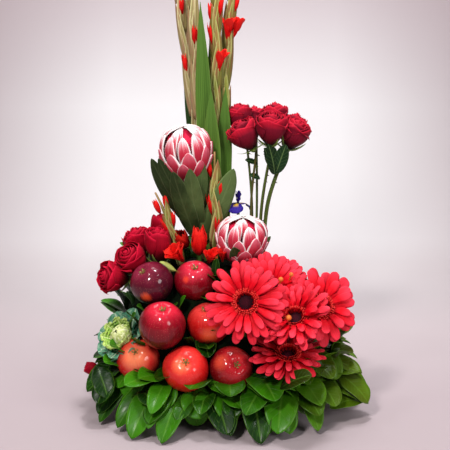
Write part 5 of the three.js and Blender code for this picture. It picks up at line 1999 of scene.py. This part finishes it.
@dataclass(frozen=True)
class Studio:
    """The pale floor, the soft lights and the camera."""

    camera_place: Point = (0.0, -1.5, 0.56)
    camera_aim: Point = (0.0, 0.0, 0.30)
    lens: float = 73.36
    lights: tuple[Light, ...] = (
        Light("key", (-0.6, -1.6, 1.6), 0.30, 28.5, "fffaf6"),
        Light("fill", (1.2, -1.5, 0.9), 0.7, 12.0),
        Light("top", (0.1, -0.2, 1.8), 0.26, 14.0),
        Light("left_glint", (-0.7, -0.7, 1.7), 0.12, 2.2),
        Light("right_glint", (0.6, -0.9, 1.6), 0.12, 2.2),
        Light("backdrop", (0.0, 0.6, 2.3), 1.2, 22.0, aim=(0.0, 1.9, 0.6)),
    )

    def _floor(self) -> None:
        """Makes the pale floor, which curves up behind the arrangement, with painted light and shade in its colour."""
        profile = [(-3.0, 0.0), (1.0, 0.0)]
        profile += [(1.0 + 0.9 * math.sin(a), 0.9 - 0.9 * math.cos(a)) for a in np.linspace(0.1, math.pi / 2, 14)]
        profile += [(1.9, 3.2)]
        points = [(x, y, z) for y, z in profile for x in (-3.5, 3.5)]
        faces = [(2 * i, 2 * i + 1, 2 * i + 3, 2 * i + 2) for i in range(len(profile) - 1)]
        mesh = bpy.data.meshes.new("studio_floor")
        mesh.from_pydata(points, [], faces)
        mesh.polygons.foreach_set("use_smooth", [True] * len(faces))
        recipe = Recipe("pale_floor_painted_light", Roughness=0.9, Specular_IOR_Level=0.1)
        # Painted light and shade: darker on the floor in front, brightest low on the wall behind the arrangement,
        # greyer higher up and darker towards the sides.
        level = recipe.maths("ADD", recipe.part("Z"), recipe.span(recipe.part("Y"), -0.4, 1.2, 0.0, 0.2))
        shade = recipe.ramp(level, (0.0, "b4a6aa"), (0.05, "baacb1"), (0.10, "ccc0c4"), (0.14, "d6ced1"),
                            (0.18, "e6e0e2"), (0.24, "f2eff1"), (0.62, "f4f2f4"), (0.98, "d8ced2"))
        off_middle = recipe.maths("ABSOLUTE", recipe.part("X"))
        shade = recipe.tinted(recipe.span(off_middle, 0.40, 1.0, 0.0, 0.95), shade, "bcacb1")
        mesh.materials.append(recipe.finish(shade))
        floor = bpy.data.objects.new("studio_floor", mesh)
        bpy.context.collection.objects.link(floor)

    def _aimed(self, thing: bpy.types.Object, place: Point, aim: Point) -> None:
        """Puts a light or camera at a place and turns it to a point."""
        thing.location = place
        thing.rotation_euler = (Vector(aim) - Vector(place)).to_track_quat("-Z", "Y").to_euler()
        bpy.context.collection.objects.link(thing)

    def build(self) -> None:
        """Builds the studio."""
        self._floor()
        for light in self.lights:
            lamp = bpy.data.lights.new(light.name, "AREA")
            lamp.shape = "DISK"
            lamp.size = light.size
            lamp.energy = light.power
            lamp.color = colour(light.code)[:3]
            self._aimed(bpy.data.objects.new(light.name, lamp), light.place, light.aim)
        world = bpy.data.worlds.new("studio_world")
        world.use_nodes = True
        world.node_tree.nodes["Background"].inputs["Color"].default_value = colour("f2eff0")
        world.node_tree.nodes["Background"].inputs["Strength"].default_value = 0.16
        bpy.context.scene.world = world
        bpy.context.scene.view_settings.view_transform = "Standard"
        camera = bpy.data.cameras.new("camera")
        camera.lens = self.lens
        camera.sensor_width = 36.0
        view = bpy.data.objects.new("camera", camera)
        self._aimed(view, self.camera_place, self.camera_aim)
        bpy.context.scene.camera = view


class Arrangement:
    """Every piece of the arrangement, with its place."""

    APPLES = (
        Apple(1, (-0.138, -0.093, 0.099), (-0.12, -0.74, 0.66), 0.0355, Finishes.BLUSH_APPLE),
        Apple(2, (-0.061, -0.136, 0.097), (0.04, -0.77, 0.64), 0.036, Finishes.SCARLET_APPLE),
        Apple(3, (0.010, -0.130, 0.096), (0.29, -0.83, 0.47), 0.0345, Finishes.RED_APPLE),
        Apple(4, (-0.097, -0.130, 0.165), (0.05, -0.42, 0.90), 0.0365, Finishes.DARK_APPLE, 1.04),
        Apple(5, (-0.026, -0.100, 0.160), (-0.19, -0.39, 0.90), 0.035, Finishes.ORANGE_APPLE),
        Apple(6, (-0.116, -0.086, 0.222), (-0.47, -0.46, 0.75), 0.035, Finishes.DUSKY_APPLE),
        Apple(7, (-0.048, -0.078, 0.224), (0.02, -0.47, 0.88), 0.033, Finishes.CRIMSON_APPLE),
    )
    GERBERAS = (
        Gerbera(1, (0.031, -0.168, 0.211), (-0.07, -0.93, 0.37), 0.062, (0.030, -0.130, 0.172), (0.030, -0.084, 0.120)),
        Gerbera(2, (0.107, -0.160, 0.182), (-0.22, -0.67, 0.71), 0.056, (0.116, -0.104, 0.160), (0.098, -0.052, 0.128),
                0.24, 2.0, 1.15),
        # Gerbera 3 lies under gerberas 1 and 2; its shade value paints their shadow onto its petals.
        Gerbera(3, (0.096, -0.150, 0.119), (0.01, -0.42, 0.91), 0.058, (0.090, -0.128, 0.088), (0.080, -0.072, 0.072),
                shade=0.7),
        Gerbera(4, (0.147, -0.120, 0.191), (0.21, -0.87, 0.45), 0.061, (0.136, -0.076, 0.162), (0.095, -0.030, 0.130),
                fullness=0.76, petal=1.35),
        Gerbera(5, (0.072, -0.100, 0.211), (-0.05, -0.82, 0.58), 0.062, (0.072, -0.066, 0.188), (0.052, -0.022, 0.160),
                0.10, 0.6, 1.8),
    )
    LOW_ROSES = (
        Rose("low_rose_1", 1, (-0.180, -0.050, 0.223), (-0.82, -0.51, 0.23), 0.0245, 0.054, (-0.134, -0.022, 0.190)),
        Rose("low_rose_2", 2, (-0.150, -0.042, 0.250), (-0.53, -0.52, 0.67), 0.0260, 0.054, (-0.112, -0.012, 0.200)),
        Rose("low_rose_3", 3, (-0.144, -0.006, 0.272), (-0.40, -0.04, 0.92), 0.0235, 0.054, (-0.112, 0.004, 0.202)),
        Rose("low_rose_4", 4, (-0.108, -0.042, 0.273), (-0.08, -0.11, 0.99), 0.0230, 0.062, (-0.094, -0.024, 0.206),
             opening=0.4),
        Rose("low_rose_5", 5, (-0.105, 0.014, 0.290), (0.05, 0.0, 1.0), 0.0210, 0.054, (-0.090, 0.008, 0.208),
             opening=0.5),
        Rose("low_rose_6", 6, (-0.219, -0.044, 0.066), (-0.95, -0.10, 0.30), 0.011, 0.027, (-0.158, -0.030, 0.082),
             opening=0.2),
    )
    TALL_ROSES = (
        Rose("tall_rose_1", 1, (0.032, 0.002, 0.449), (-0.51, -0.19, 0.84), 0.0260, 0.056, (0.047, -0.004, 0.206),
             (0.043, 0.0, 0.330), petals=Finishes.TALL_ROSE),
        Rose("tall_rose_2", 2, (0.075, -0.008, 0.460), (0.01, -0.24, 0.97), 0.0265, 0.060, (0.055, -0.004, 0.206),
             (0.060, 0.0, 0.330), (((0.070, 0.0, 0.404), (0.063, -0.022, 0.430), 0.016),), petals=Finishes.TALL_ROSE),
        Rose("tall_rose_3", 3, (0.112, 0.010, 0.450), (0.33, -0.24, 0.91), 0.0260, 0.057, (0.063, -0.001, 0.206),
             (0.071, 0.001, 0.330), (((0.082, 0.002, 0.384), (0.070, -0.012, 0.436), 0.024),
                                     ((0.084, 0.002, 0.386), (0.099, -0.010, 0.434), 0.024)),
             petals=Finishes.TALL_ROSE),
        Rose("tall_rose_4", 4, (0.025, 0.046, 0.474), (-0.30, -0.06, 0.93), 0.0220, 0.052, (0.042, 0.005, 0.206),
             (0.045, 0.012, 0.330), (((0.054, 0.014, 0.400), (0.033, 0.002, 0.408), 0.011),
                                     ((0.058, 0.013, 0.376), (0.040, 0.003, 0.383), 0.011)),
             petals=Finishes.TALL_ROSE),
        Rose("tall_rose_5", 5, (0.051, 0.066, 0.469), (-0.08, 0.10, 0.99), 0.0200, 0.050, (0.050, 0.010, 0.206),
             (0.053, 0.008, 0.330), petals=Finishes.TALL_ROSE),
        Rose("tall_rose_6", 6, (0.084, 0.054, 0.475), (0.05, 0.0, 1.0), 0.0215, 0.052, (0.058, 0.013, 0.206),
             (0.062, 0.015, 0.330), petals=Finishes.TALL_ROSE),
        Rose("tall_rose_7", 7, (0.115, 0.054, 0.458), (0.30, 0.0, 0.95), 0.0210, 0.050, (0.066, 0.009, 0.206),
             (0.069, 0.010, 0.330), petals=Finishes.TALL_ROSE),
    )
    PROTEAS = (
        Protea(1, (-0.063, -0.015, 0.419), (-0.11, -0.26, 0.96), 0.042, 0.092, (-0.048, 0.014, 0.300),
               (-0.042, 0.008, 0.208), (
                   ((-0.047, 0.012, 0.286), (-0.119, -0.024, 0.413), 0.030),
                   ((-0.048, 0.011, 0.302), (-0.106, -0.042, 0.415), 0.026),
                   ((-0.045, 0.010, 0.270), (-0.082, -0.062, 0.396), 0.031),
                   ((-0.045, 0.010, 0.276), (-0.055, -0.066, 0.401), 0.030),
                   ((-0.046, 0.012, 0.284), (-0.035, -0.040, 0.409), 0.022),
                   ((-0.044, 0.009, 0.258), (0.014, -0.030, 0.397), 0.038),
                   ((-0.049, 0.012, 0.312), (-0.104, 0.030, 0.398), 0.025))),
        Protea(2, (0.027, -0.045, 0.283), (0.02, -0.17, 0.98), 0.041, 0.076, (0.025, -0.034, 0.236),
               (0.023, -0.024, 0.205), (
                   ((0.025, -0.034, 0.238), (0.014, -0.094, 0.281), 0.022),
                   ((0.025, -0.034, 0.238), (0.074, -0.038, 0.288), 0.018))),
    )
    SPIKES = (
        Gladiolus(1, (-0.036, 0.046, 0.206), (-0.113, 0.064, 0.855), bow=0.016, finish=Finishes.TAN_SPATHE, red=(
            (0.657, BudStage.SHOWING, -1.0), (0.742, BudStage.SHOWING, 3.0), (0.562, BudStage.LONG, -2.0))),
        Gladiolus(2, (-0.028, 0.060, 0.206), (-0.080, 0.092, 0.880), finish=Finishes.TAN_SPATHE, red=(
            (0.651, BudStage.SHOWING, -2.6), (0.735, BudStage.SHOWING, 0.3))),
        Gladiolus(3, (-0.034, 0.034, 0.206), (-0.061, 0.042, 0.838), finish=Finishes.TAN_SPATHE, red=(
            (0.609, BudStage.LONG, -1.4), (0.386, BudStage.SHOWING, -1.0), (0.329, BudStage.SHOWING, -1.2),
            (0.690, BudStage.SHOWING, 3.0))),
        Gladiolus(4, (-0.017, 0.034, 0.206), (-0.013, 0.044, 0.890), bud_width=0.0265, red=(
            (0.645, BudStage.LONG, 3.2), (0.612, BudStage.LONG, 3.4), (0.656, BudStage.LONG, -0.6),
            (0.567, BudStage.OPEN, -0.7), (0.360, BudStage.SHOWING, -1.2), (0.720, BudStage.SHOWING, -0.5))),
        Gladiolus(5, (-0.008, 0.048, 0.206), (0.033, 0.076, 0.862), bow=-0.012, bud_width=0.0265, red=(
            (0.662, BudStage.SHOWING, 0.0), (0.616, BudStage.OPEN, -1.7), (0.618, BudStage.OPEN, -0.1),
            (0.730, BudStage.SHOWING, 2.8))),
        Gladiolus(6, (-0.014, -0.014, 0.212), (-0.017, -0.024, 0.430), 0.262, sheathed=False, spacing=0.036,
                  bud_length=0.088, bud_width=0.0310,
                  red=((0.302, BudStage.LONG, -1.3), (0.364, BudStage.SHOWING, -0.4),
                       (0.338, BudStage.LONG, -2.9), (0.394, BudStage.SHOWING, 3.0))),
        Gladiolus(7, (-0.068, -0.024, 0.212), (-0.115, -0.042, 0.366), 0.240, sheathed=False, spacing=0.030,
                  bud_length=0.068, bud_width=0.0240, bow=0.008,
                  red=((0.336, BudStage.SHOWING, 3.2), (0.302, BudStage.LONG, -2.6),
                       (0.343, BudStage.SHOWING, 0.1), (0.316, BudStage.SHOWING, 0.1))),
    )
    SWORDS = (
        SwordLeaf(1, (-0.018, 0.014, 0.208), (-0.023, 0.006, 0.524), 0.031),
        SwordLeaf(2, (-0.024, 0.020, 0.208), (-0.040, 0.018, 0.662), 0.027),
        SwordLeaf(3, (-0.007, 0.026, 0.208), (0.001, 0.026, 0.526), 0.027),
        SwordLeaf(4, (-0.030, 0.053, 0.208), (-0.070, 0.068, 0.612), 0.020, Finishes.SWORD_PAINTED_SHADE),
        SwordLeaf(5, (-0.006, 0.041, 0.208), (-0.022, 0.048, 0.640), 0.027),
        SwordLeaf(6, (-0.016, 0.054, 0.208), (-0.046, 0.062, 0.626), 0.020, Finishes.SWORD_PAINTED_SHADE),
    )
    FLORETS = (
        Floret(1, (-0.076, -0.062, 0.262), (-0.50, -0.50, 0.70), 0.015, 0.034),
        Floret(2, (-0.070, -0.032, 0.281), (-0.20, -0.60, 0.75), 0.013, 0.042, 60.0, Finishes.DEEP_RED),
        Floret(3, (-0.042, -0.046, 0.281), (0.0, -0.10, 1.0), 0.014, 0.048, 48.0),
        Floret(4, (-0.024, -0.055, 0.256), (0.20, -0.60, 0.75), 0.010, 0.030),
        Floret(5, (-0.004, -0.066, 0.262), (0.0, -0.50, 0.86), 0.008, 0.026),
    )

    def build(self) -> None:
        """Builds every piece."""
        Basket().build()
        Foliage().build()
        groups = (self.APPLES, self.GERBERAS, self.LOW_ROSES, self.TALL_ROSES, self.PROTEAS, self.SPIKES,
                  self.SWORDS, self.FLORETS)
        for group in groups:
            for item in group:
                item.build()
        Iris().build()
        Kale().build()
        Buds().build()


def main() -> None:
    """Builds the studio and the arrangement."""
    logging.basicConfig(level=logging.INFO, format="%(name)s: %(message)s")
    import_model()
    Studio().build()
    Arrangement().build()


if __name__ == "__main__":
    main()
